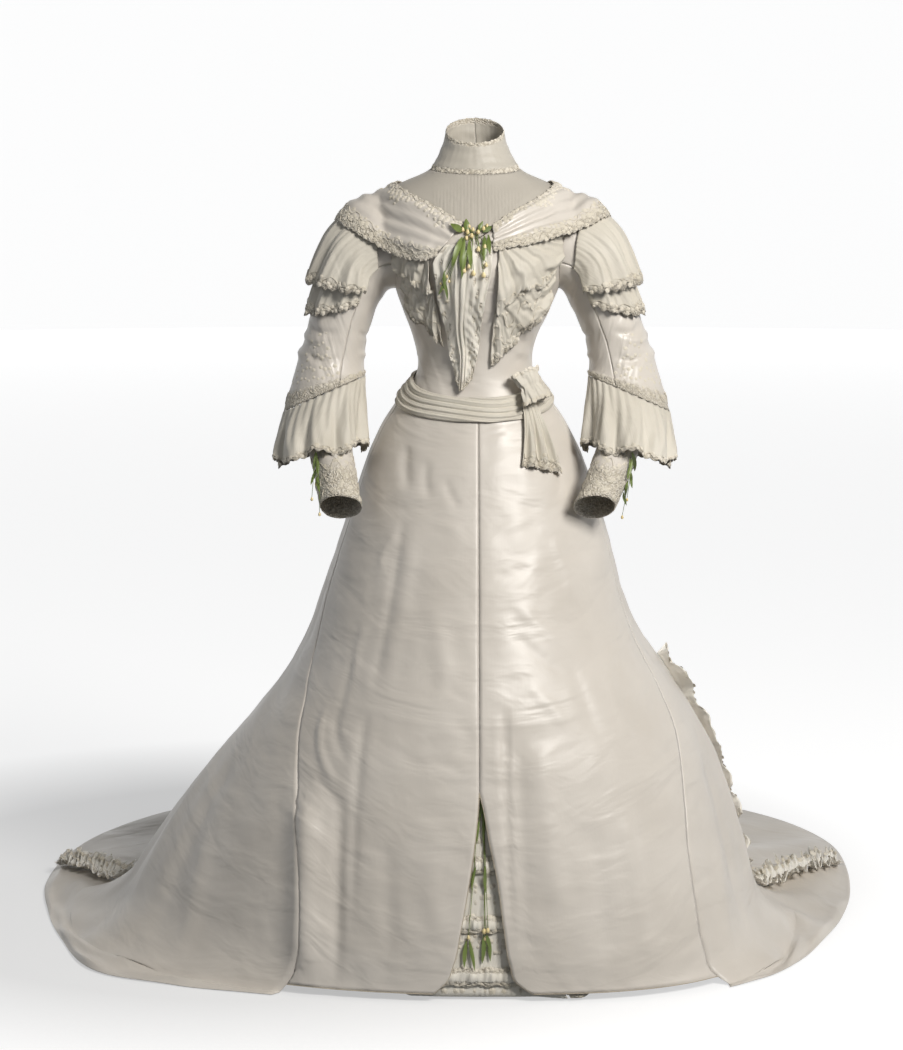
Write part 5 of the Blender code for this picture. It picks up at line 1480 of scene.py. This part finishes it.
def cords(paths, radius, sides=5):
    """Thin round stems or cords along paths of points."""
    points, faces, count = [], [], 0
    turn = np.linspace(0, 2 * math.pi, sides, endpoint=False)
    for path in paths:
        path = np.asarray(path, float)
        along = unit(np.gradient(path, axis=0))
        a = unit(np.cross(along, np.array([0.2, 0.9, 0.3])))
        b = np.cross(along, a)
        thin = radius * np.linspace(1.0, 0.7, len(path))[:, None, None]
        c, s = np.cos(turn)[None, :, None], np.sin(turn)[None, :, None]
        ring = path[:, None] + thin * (c * a[:, None] + s * b[:, None])
        points.append(ring.reshape(-1, 3))
        faces.append(quads(len(path), sides, True) + count)
        count += len(path) * sides
    return np.concatenate(points), np.concatenate(faces)


def joined(*parts):
    """One set of points and faces from several."""
    points, faces, count = [], [], 0
    for p, f in parts:
        points.append(p)
        faces.append(f + count)
        count += len(p)
    return np.concatenate(points), np.concatenate(faces)


def lacework(node_name, surface, rows, seed, high=0.0009, name=None, keep=None):
    """Flowers and cords of lace on bands of a cloth: each row gives v, spacing, size and sway."""
    p, n = surface
    high_count, wide_count = p.shape[:2]
    rng = np.random.default_rng(seed)
    parts = []
    for v, spacing, size, sway in rows:
        line = lengths(p, 1)[int(v * (high_count - 1))]
        total = line[-1]
        count = max(3, int(total / spacing))
        at = (np.arange(count) + 0.5 + rng.uniform(-0.2, 0.2, count)) / count * total
        col = np.interp(at, line, np.arange(wide_count)).round().astype(int)
        shift = sway * np.sin(np.arange(count) * 2.4 + seed) + rng.uniform(-0.3, 0.3, count) * sway
        row = np.clip((v + shift) * (high_count - 1), 1, high_count - 2).round().astype(int)
        if keep is not None:
            use = keep(col / (wide_count - 1), row / (high_count - 1))
            row, col = row[use], col[use]
        sound = np.linalg.norm(n[row, col], axis=-1) > 0.5
        row, col = row[sound], col[sound]
        if len(row) < 2:
            continue
        spots = p[row, col]
        sizes = size * rng.uniform(0.75, 1.2, len(row))
        parts.append(rosettes(spots, n[row, col], sizes, high, seed))
        if keep is None:
            fine = np.linspace(0, total, count * 5)
            c = np.interp(fine, line, np.arange(wide_count))
            r = (v + sway * 1.2 * np.sin(fine / spacing * 2.1 + seed)) * (high_count - 1)
            r, c = np.clip(r, 0, high_count - 1).round().astype(int), c.round().astype(int)
            path = p[r, c] + n[r, c] * high * 0.6
            path[1:-1] = (path[:-2] + path[1:-1] * 2 + path[2:]) / 4
            parts.append(cords([path], size * 0.14, 4))
    points, faces = joined(*parts)
    obj = mesh_piece(name or f"lace_{node_name}", points, faces, LOOKS["lace"], "lace")
    SHEETS[node_name]["with_pieces"].append(obj)


Leaf = namedtuple("Leaf", "x height run drop wide")
Bud = namedtuple("Bud", "x height size")
SPRAYS = {
    "spray_bodice": (
        [
            Leaf(-0.027, 1.262, -0.021, 0.014, 0.0065),
            Leaf(-0.022, 1.262, 0.002, 0.022, 0.0060),
            Leaf(-0.030, 1.254, -0.012, -0.042, 0.0055),
            Leaf(-0.024, 1.250, -0.005, -0.056, 0.0050),
            Leaf(-0.015, 1.250, 0.001, -0.050, 0.0045),
            Leaf(-0.034, 1.242, -0.014, -0.036, 0.0040),
            Leaf(0.007, 1.262, 0.014, 0.010, 0.0050),
            Leaf(0.008, 1.256, 0.001, -0.042, 0.0048),
            Leaf(0.014, 1.258, 0.006, -0.032, 0.0042),
            Leaf(0.000, 1.262, 0.008, 0.018, 0.0042),
            Leaf(-0.018, 1.236, -0.012, -0.052, 0.0036),
            Leaf(-0.056, 1.198, -0.004, -0.032, 0.0034),
            Leaf(-0.058, 1.182, 0.004, -0.034, 0.0030),
            Leaf(-0.060, 1.178, -0.008, -0.022, 0.0028),
        ],
        [
            Bud(-0.027, 1.266, 0.0030), Bud(-0.019, 1.262, 0.0034), Bud(-0.012, 1.256, 0.0032),
            Bud(-0.021, 1.252, 0.0030), Bud(-0.010, 1.266, 0.0028), Bud(-0.016, 1.271, 0.0026),
            Bud(0.008, 1.268, 0.0030), Bud(0.014, 1.272, 0.0028), Bud(-0.001, 1.262, 0.0030),
            Bud(-0.001, 1.234, 0.0034), Bud(0.010, 1.238, 0.0032), Bud(-0.025, 1.199, 0.0036),
            Bud(-0.009, 1.194, 0.0036), Bud(0.008, 1.191, 0.0036), Bud(0.012, 1.208, 0.0030),
            Bud(-0.017, 1.206, 0.0030), Bud(-0.060, 1.168, 0.0022), Bud(-0.054, 1.188, 0.0022),
            Bud(-0.064, 1.176, 0.0020), Bud(-0.050, 1.180, 0.0020),
        ],
        (-0.010, 1.262),
    ),
    "spray_sleeve_left": (
        [
            Leaf(-0.276, 0.892, -0.006, -0.034, 0.0040), Leaf(-0.277, 0.880, 0.006, -0.030, 0.0036),
            Leaf(-0.277, 0.862, -0.006, -0.026, 0.0032), Leaf(-0.274, 0.850, 0.005, -0.026, 0.0030),
        ],
        [Bud(-0.283, 0.812, 0.0024), Bud(-0.270, 0.786, 0.0024), Bud(-0.276, 0.836, 0.0022)],
        (-0.276, 0.892),
    ),
    "spray_sleeve_right": (
        [
            Leaf(0.262, 0.888, 0.006, -0.036, 0.0042), Leaf(0.260, 0.876, -0.006, -0.032, 0.0038),
            Leaf(0.258, 0.856, 0.006, -0.030, 0.0034), Leaf(0.254, 0.840, -0.002, -0.028, 0.0032),
            Leaf(0.248, 0.822, 0.004, -0.026, 0.0030),
        ],
        [Bud(0.246, 0.776, 0.0024), Bud(0.254, 0.806, 0.0022)],
        (0.262, 0.888),
    ),
    "spray_slit": (
        [
            Leaf(0.004, 0.338, -0.004, -0.040, 0.0032), Leaf(0.005, 0.320, 0.003, -0.060, 0.0030),
            Leaf(0.008, 0.226, 0.004, -0.046, 0.0034), Leaf(-0.006, 0.224, -0.006, -0.040, 0.0030),
            Leaf(-0.020, 0.100, -0.006, -0.044, 0.0040), Leaf(-0.015, 0.102, 0.006, -0.050, 0.0036),
            Leaf(0.008, 0.112, -0.004, -0.050, 0.0042), Leaf(0.013, 0.110, 0.006, -0.044, 0.0040),
            Leaf(0.010, 0.112, 0.010, -0.026, 0.0032), Leaf(0.000, 0.300, -0.003, -0.040, 0.0028),
        ],
        [
            Bud(0.004, 0.340, 0.0042), Bud(0.001, 0.334, 0.0034), Bud(0.008, 0.118, 0.0036),
            Bud(0.014, 0.120, 0.0034), Bud(0.010, 0.104, 0.0030), Bud(-0.018, 0.106, 0.0028),
        ],
        (0.004, 0.338),
    ),
}


def seen_depth(x, height, found, fallback):
    """How near the cloth behind a place is, seen from the front."""
    near = []
    for dx, dz in AROUND:
        for tree in found:
            hit = tree.ray_cast(Vector((x + dx, -2, height + dz)), Vector((0, 1, 0)))
            if hit[0] is not None:
                near.append(hit[0].y)
    return min(near) if near else fallback


def spray(name, found):
    """Leaves, stems and buds, laid on the cloth behind them."""
    leaves, buds, root = SPRAYS[name]
    start = seen_depth(*root, found, -0.15)
    parts, stems, heads = [], [], []
    for k, leaf in enumerate(leaves):
        across, t = grid(np.linspace(-1, 1, 5), np.linspace(0, 1, 9))
        x0 = leaf.x + leaf.run * t[:, 0] + 0.0015 * np.sin(3 * t[:, 0] + k)
        h0 = leaf.height + leaf.drop * t[:, 0]
        y0 = np.array([seen_depth(a, b, found, start) for a, b in zip(x0, h0)])
        smooth = np.convolve(np.pad(y0, 2, mode="edge"), np.ones(5) / 5, "valid")
        y0 = np.minimum(y0, smooth) - 0.0022
        y0 = y0 - 0.0035 * np.sin(t[:, 0] * 2.6) - 0.0008 * (k % 3)
        size = math.hypot(leaf.run, leaf.drop)
        side = np.array([-leaf.drop, 0, leaf.run]) / size
        wide = leaf.wide * np.sin(math.pi * np.clip(t, 0.02, 0.985)) ** 0.75 * (1 - 0.25 * t)
        p = np.stack([x0, y0, h0], axis=-1)[:, None] + side * (wide * across)[..., None]
        p[..., 1] += 0.28 * wide * np.abs(across) * (1 if k % 2 else -0.4)
        front = quads(*across.shape)
        behind = p + np.array([0, 0.0005, 0])
        parts.append((p.reshape(-1, 3), front))
        parts.append((behind.reshape(-1, 3), front[:, ::-1]))
    for bud in buds:
        y = seen_depth(bud.x, bud.height, found, start) - bud.size * 0.9 - 0.0012
        around = np.linspace(0, 2 * math.pi, 10, endpoint=False)
        turn, lat = grid(around, np.linspace(0.06, math.pi - 0.06, 8))
        wide = np.sin(lat) * (1 - 0.25 * np.cos(lat)) * bud.size
        tall = 1.45 * bud.size * np.cos(lat)
        ball = np.stack([wide * np.cos(turn), wide * np.sin(turn), tall], axis=-1)
        ball += np.array([bud.x, y, bud.height])
        heads.append((ball.reshape(-1, 3), quads(*lat.shape, True)[:, FLIPPED]))
        t = np.linspace(0, 1, 12)[:, None]
        x, height = root
        a = np.array([x + 0.3 * (bud.x - x), start - 0.004, height + 0.1 * (bud.height - height)])
        b = np.array([bud.x, y, bud.height + bud.size * 1.2])
        path = a * (1 - t) + b * t
        depth = np.array([seen_depth(q[0], q[2], found, start) for q in path]) - 0.0016
        path[:, 1] = np.minimum(path[:, 1], depth)
        path[:, 0] += 0.0022 * np.sin(t[:, 0] * math.pi) * np.sin(bud.x * 900)
        stems.append(path)
    place = name.removeprefix("spray_")
    foliage = joined(*parts, cords(stems, 0.0007))
    green = mesh_piece(f"leaves_{place}", *foliage, LOOKS["leaf"], "leaves")
    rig.replaces(green, name)
    mesh_piece(f"buds_{place}", *joined(*heads), LOOKS["bud"], "leaves")


def sprays():
    """Sprays of leaves and buds on the bodice, under the elbow frills and at the slit."""
    pairs = [f"{part}_{name}" for part in ("bertha", "chest_flounce") for name in ("left", "right")]
    spray("spray_bodice", trees("bodice_front", "yoke_front", "jabot", *pairs))
    for name in ("left", "right"):
        spray(f"spray_sleeve_{name}", trees(f"elbow_frill_{name}", f"cuff_{name}"))
    tiers = [f"slit_tier_{i + 1}" for i in range(len(TIERS))]
    spray("spray_slit", trees("underskirt_front", *tiers))


def node(tree, kind, inputs, **values):
    """One shader node: its inputs by name or place, numbers set and outputs linked."""
    made = tree.nodes.new(kind)
    for key, value in values.items():
        setattr(made, key, value)
    for key, value in inputs.items():
        if isinstance(value, bpy.types.NodeSocket):
            tree.links.new(value, made.inputs[key])
        elif value is not None:
            made.inputs[key].default_value = value
    return made


def ramp(tree, factor, stops):
    """Colours, or greys, along a factor."""
    made = node(tree, "ShaderNodeValToRGB", {"Fac": factor})
    for element, (place, value) in zip(made.color_ramp.elements, stops):
        element.position = place
        element.color = (*value, 1) if isinstance(value, tuple) else (value, value, value, 1)
    return made.outputs["Color"]


def material(name):
    """A new material, its node tree and its shader."""
    look = bpy.data.materials.new(name)
    look.use_nodes = True
    return look, look.node_tree, look.node_tree.nodes["Principled BSDF"]


Stuff = namedtuple("Stuff", "light dark rough sheen threads crinkle wrinkle lace through")
# Soft wrinkles, crinkles and threads of a cloth: scale over the cloth, detail, turn and bend.
SOFT_WAVES = ((5, 13, 1), 2.5, 0.5, 0.9)
CROSS_WAVES = ((12, 24, 1), 2.0, -0.7, 0.8)
CRINKLES = ((260, 26, 1), 2.0)
THREADS = ((2600, 420, 1), 1.0)
MESH_CELL, BLOOM = 120, 300
LACE_RELIEF = -0.0022
GLOW_DEPTH = 0.004


def fabric(name, stuff):
    """A woven cloth: threads, crinkles along its length, soft wrinkles, lace where it is masked."""
    look, tree, bsdf = material(name)
    bsdf.inputs["Sheen Weight"].default_value = stuff.sheen
    bsdf.inputs["Sheen Roughness"].default_value = 0.4
    bsdf.inputs["Specular IOR Level"].default_value = 0.5
    if stuff.through:
        bsdf.inputs["Subsurface Weight"].default_value = stuff.through
        bsdf.inputs["Subsurface Radius"].default_value = (GLOW_DEPTH,) * 3
        bsdf.inputs["Subsurface Scale"].default_value = 1.0
    place = tree.nodes.new("ShaderNodeTexCoord").outputs

    def mapped(source, scale, turn=0.0):
        turned = {"Vector": place[source], "Rotation": (0, 0, turn), "Scale": scale}
        return node(tree, "ShaderNodeMapping", turned).outputs["Vector"]

    def noise(source, scale, detail=3.0, turn=0.0, bend=0.0):
        at = {"Vector": mapped(source, scale, turn), "Scale": 1.0, "Detail": detail,
              "Distortion": bend}
        return node(tree, "ShaderNodeTexNoise", at).outputs["Fac"]

    def cells(feature, size):
        at = {"Vector": mapped("UV", (size, size, 1)), "Scale": 1.0}
        return node(tree, "ShaderNodeTexVoronoi", at, feature=feature).outputs["Distance"]

    def bump(height, strength, distance, before=None):
        at = {"Strength": strength, "Distance": distance, "Height": height, "Normal": before}
        return node(tree, "ShaderNodeBump", at).outputs["Normal"]

    def maths(operation, *values):
        return node(tree, "ShaderNodeMath", dict(enumerate(values)), operation=operation).outputs[0]

    spread = [(0.35, stuff.dark), (0.65, stuff.light)]
    colour = ramp(tree, noise("Object", (7, 7, 7), 5.0), spread)
    spread = [(0.3, stuff.rough - 0.07), (0.7, stuff.rough + 0.07)]
    roughness = ramp(tree, noise("UV", (9, 5, 1)), spread)
    normal = bump(noise("UV", *SOFT_WAVES), 1.0, stuff.wrinkle * 1.5)
    normal = bump(noise("UV", *CROSS_WAVES), 1.0, stuff.wrinkle * 0.5, normal)
    normal = bump(noise("UV", *CRINKLES), 1.0, stuff.crinkle, normal)
    normal = bump(noise("UV", *THREADS), 0.6, stuff.threads, normal)
    if stuff.lace:
        cell = cells("DISTANCE_TO_EDGE", MESH_CELL)
        relief = maths("SUBTRACT", cells("F1", BLOOM), cell)
        mask = node(tree, "ShaderNodeAttribute", {}, attribute_name="lace").outputs["Fac"]
        lace_colour = ramp(tree, relief, [(0.15, LACE[0]), (0.55, LACE[1])])
        mix = {"Factor": mask, 6: colour, 7: lace_colour}
        colour = node(tree, "ShaderNodeMix", mix, data_type="RGBA").outputs[2]
        normal = bump(maths("MULTIPLY", relief, mask), 1.0, LACE_RELIEF, normal)
        roughness = maths("MULTIPLY_ADD", mask, 0.3, roughness)
    tree.links.new(colour, bsdf.inputs["Base Color"])
    tree.links.new(roughness, bsdf.inputs["Roughness"])
    tree.links.new(normal, bsdf.inputs["Normal"])
    return look


PAPER_GLOW = 0.76
WALL_GLOW = 0.86
SKY = 0.15
Lamp = namedtuple("Lamp", "name place aim size power tint")
LAMPS = [
    Lamp("key", (1.9, -2.8, 2.1), (0.0, 0.0, 0.15), 1.3, 168, (1.0, 0.975, 0.94)),
    Lamp("front", (-0.8, -4.2, 2.2), (0.0, 0.0, 0.1), 1.2, 8, (1.0, 0.99, 0.97)),
]
LACE = ((0.69, 0.64, 0.55), (0.48, 0.43, 0.345))
SATIN_TONES = (0.635, 0.590, 0.530), (0.585, 0.540, 0.480)
GAUZE_TONES = (0.64, 0.60, 0.52), (0.54, 0.50, 0.42)
# IVORY_AND_PAINTED_LIGHT: a lighter copy of the chiffon tones for the jabot, the inset, its tiers and the hem strip;
# partly their whiter chiffon, partly painted light that brightens them where they lie in shade.
IVORY_AND_PAINTED_LIGHT = (0.80, 0.755, 0.66), (0.73, 0.68, 0.585)
# CREAM_AND_PAINTED_LIGHT: a still lighter copy of the chiffon tones, for the garlands; partly their pale chiffon,
# partly painted light that stands in for the fill the skirt's shadow keeps off them.
CREAM_AND_PAINTED_LIGHT = (0.90, 0.86, 0.78), (0.84, 0.80, 0.71)
DIM_LACE = (0.52, 0.485, 0.42), (0.46, 0.425, 0.36)
BRIGHT_LACE = (0.69, 0.64, 0.55), (0.55, 0.50, 0.40)
PIPING = (0.52, 0.45, 0.34), (0.42, 0.35, 0.26)
NET = (0.47, 0.435, 0.375), (0.42, 0.385, 0.33)
GREEN = (0.20, 0.26, 0.06), (0.09, 0.13, 0.03)
WAX = (0.84, 0.72, 0.42), (0.72, 0.57, 0.26)
STUFFS = {
    "satin": Stuff(*SATIN_TONES, 0.42, 0.10, 0.00004, 0.00008, 0.0036, False, 0),
    "lace_mix": Stuff(*SATIN_TONES, 0.38, 0.10, 0.00004, 0.00010, 0.0042, True, 0),
    "chiffon": Stuff(*GAUZE_TONES, 0.66, 0.20, 0.00006, 0.00070, 0.0024, False, 0),
    "chiffon_mix": Stuff(*GAUZE_TONES, 0.66, 0.20, 0.00006, 0.00070, 0.0024, True, 0),
    "ruffle": Stuff(*IVORY_AND_PAINTED_LIGHT, 0.66, 0.20, 0.00006, 0.00070, 0.0024, True, 0.35),
    "garland": Stuff(*CREAM_AND_PAINTED_LIGHT, 0.66, 0.20, 0.00006, 0.00070, 0.0016, False, 0.60),
    "collar": Stuff(*DIM_LACE, 0.50, 0.15, 0.00010, 0.00020, 0.0010, True, 0),
    "lace": Stuff(*BRIGHT_LACE, 0.62, 0.20, 0.00025, 0.00020, 0.0010, False, 0),
    "cord": Stuff(*PIPING, 0.55, 0.10, 0.00020, 0.00010, 0.0004, False, 0),
    "net": Stuff(*NET, 0.60, 0.15, 0.00012, 0.00030, 0.0010, False, 0),
    "leaf": Stuff(*GREEN, 0.38, 0.00, 0.00004, 0.00030, 0.0008, False, 0),
    "bud": Stuff(*WAX, 0.34, 0.05, 0.00004, 0.00010, 0.0004, False, 0),
}
LOOKS = {name: fabric(name, stuff) for name, stuff in STUFFS.items()}
PAPER_GREY = (0.40, 0.40, 0.40, 1)
SHADOW_AT, SHADOW_SIZE = (0.35, -0.40), 1.25
FLOOR_HALF, WALL_AWAY, WALL_TOP, WALL_STEPS = 20, 15, 6.0, 60
FLOOR = -WAIST_HEIGHT - 0.0005


def paper(name, glow):
    """White studio paper that glows a little, so that it stays white in the camera."""
    look, tree, bsdf = material(name)
    bsdf.inputs["Base Color"].default_value = PAPER_GREY
    bsdf.inputs["Roughness"].default_value = 0.95
    bsdf.inputs["Emission Color"].default_value = (1, 1, 1, 1)
    bsdf.inputs["Emission Strength"].default_value = glow
    return look, tree, bsdf


def stage(name, corners, faces, look):
    """One face or strip of the studio, which stays out of the part."""
    mesh = bpy.data.meshes.new(name)
    mesh.from_pydata(corners, [], faces)
    mesh.materials.append(look)
    obj = bpy.data.objects.new(name, mesh)
    bpy.context.scene.collection.objects.link(obj)
    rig.stage(obj)
    return obj


def picture():
    """Floor with a painted shadow under the dress, backdrop, light and the camera of the photo."""
    scene = bpy.context.scene
    scene.view_settings.view_transform = "Standard"
    look, tree, bsdf = paper("paper", PAPER_GLOW)
    # Painted shadow: the floor's glow falls to 0.6 of PAPER_GLOW over the dress's footprint and a little round it, a
    # soft darker floor under and beside the dress.
    place = tree.nodes.new("ShaderNodeTexCoord").outputs["Object"]
    x, y = (c / SHADOW_SIZE for c in SHADOW_AT)
    size = (1 / SHADOW_SIZE, 1 / SHADOW_SIZE, 0.0)
    at = {"Vector": place, "Location": (x, y, 0.0), "Scale": size}
    spot = node(tree, "ShaderNodeMapping", at).outputs["Vector"]
    near = node(tree, "ShaderNodeTexGradient", {"Vector": spot}, gradient_type="SPHERICAL")
    glow = ramp(tree, near.outputs["Fac"], [(0.0, PAPER_GLOW), (0.38, PAPER_GLOW * 0.60)])
    tree.links.new(glow, bsdf.inputs["Emission Strength"])
    corners = [(x, y, FLOOR) for x, y in ((-1, -1), (1, -1), (1, 1), (-1, 1))]
    corners = [(x * FLOOR_HALF, y * FLOOR_HALF, z) for x, y, z in corners]
    stage("floor", corners, [(0, 1, 2, 3)], look).visible_diffuse = False
    turn = np.radians(np.linspace(-100, 100, WALL_STEPS + 1))
    arc = [(WALL_AWAY * math.sin(t), WALL_AWAY * math.cos(t)) for t in turn]
    ring = [(x, y, h) for h in (FLOOR, WALL_TOP) for x, y in arc]
    row = WALL_STEPS + 1
    faces = [(i, i + 1, row + i + 1, row + i) for i in range(WALL_STEPS)]
    stage("backdrop", ring, faces, paper("wall_paper", WALL_GLOW)[0])
    world = bpy.data.worlds.new("studio")
    scene.world = world
    world.use_nodes = True
    sky = world.node_tree.nodes["Background"].inputs
    sky["Color"].default_value = (0.92, 0.96, 1, 1)
    sky["Strength"].default_value = SKY
    for name, place, aim, size, power, tint in LAMPS:
        light = bpy.data.lights.new(name, "AREA")
        light.shape, light.size, light.energy, light.color = "DISK", size, power, tint
        lamp = bpy.data.objects.new(name, light)
        lamp.location = place
        lamp.rotation_euler = (Vector(place) - Vector(aim)).to_track_quat("Z", "Y").to_euler()
        scene.collection.objects.link(lamp)
    camera = bpy.data.cameras.new("camera")
    camera.lens, camera.sensor_width = 96.7, 36.0
    eye = bpy.data.objects.new("camera", camera)
    eye.location = (-0.046, -4.9, 0.46)
    eye.rotation_euler = (math.radians(81.81), 0, 0)
    scene.collection.objects.link(eye)
    scene.camera = eye


picture()
gores()
bodice()
sleeves()
caps()
chest()
sash()
inset()
garlands()
sprays()
RESTS_ON = {
    "jabot": ["bodice_front"],
    "sash": ["skirt_front_left", "skirt_front_right"],
    "sash_knot": ["sash"],
    "sash_tail": ["skirt_front_right"],
    **{f"slit_tier_{i + 1}": ["underskirt_front"] for i in range(len(TIERS))},
}
for side in ("left", "right"):
    RESTS_ON[f"cap_frill_{side}"] = RESTS_ON[f"cap_flounce_{side}"] = [f"sleeve_top_{side}"]
    RESTS_ON[f"bertha_{side}"] = [f"cap_flounce_{side}"]
    RESTS_ON[f"chest_flounce_{side}"] = ["bodice_front"]
    RESTS_ON[f"train_ruffle_{side}"] = [f"skirt_side_{side}"]
for node_name, names in RESTS_ON.items():
    SHEETS[node_name]["rests_on"] = names
for s in SHEETS.values():
    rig.sheet(s.pop("piece"), **s)

with open("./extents.json", "w") as out:
    json.dump({"cad": [list(c) for c in CAD_BOX], "visual": [list(c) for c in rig.bounds()]}, out)
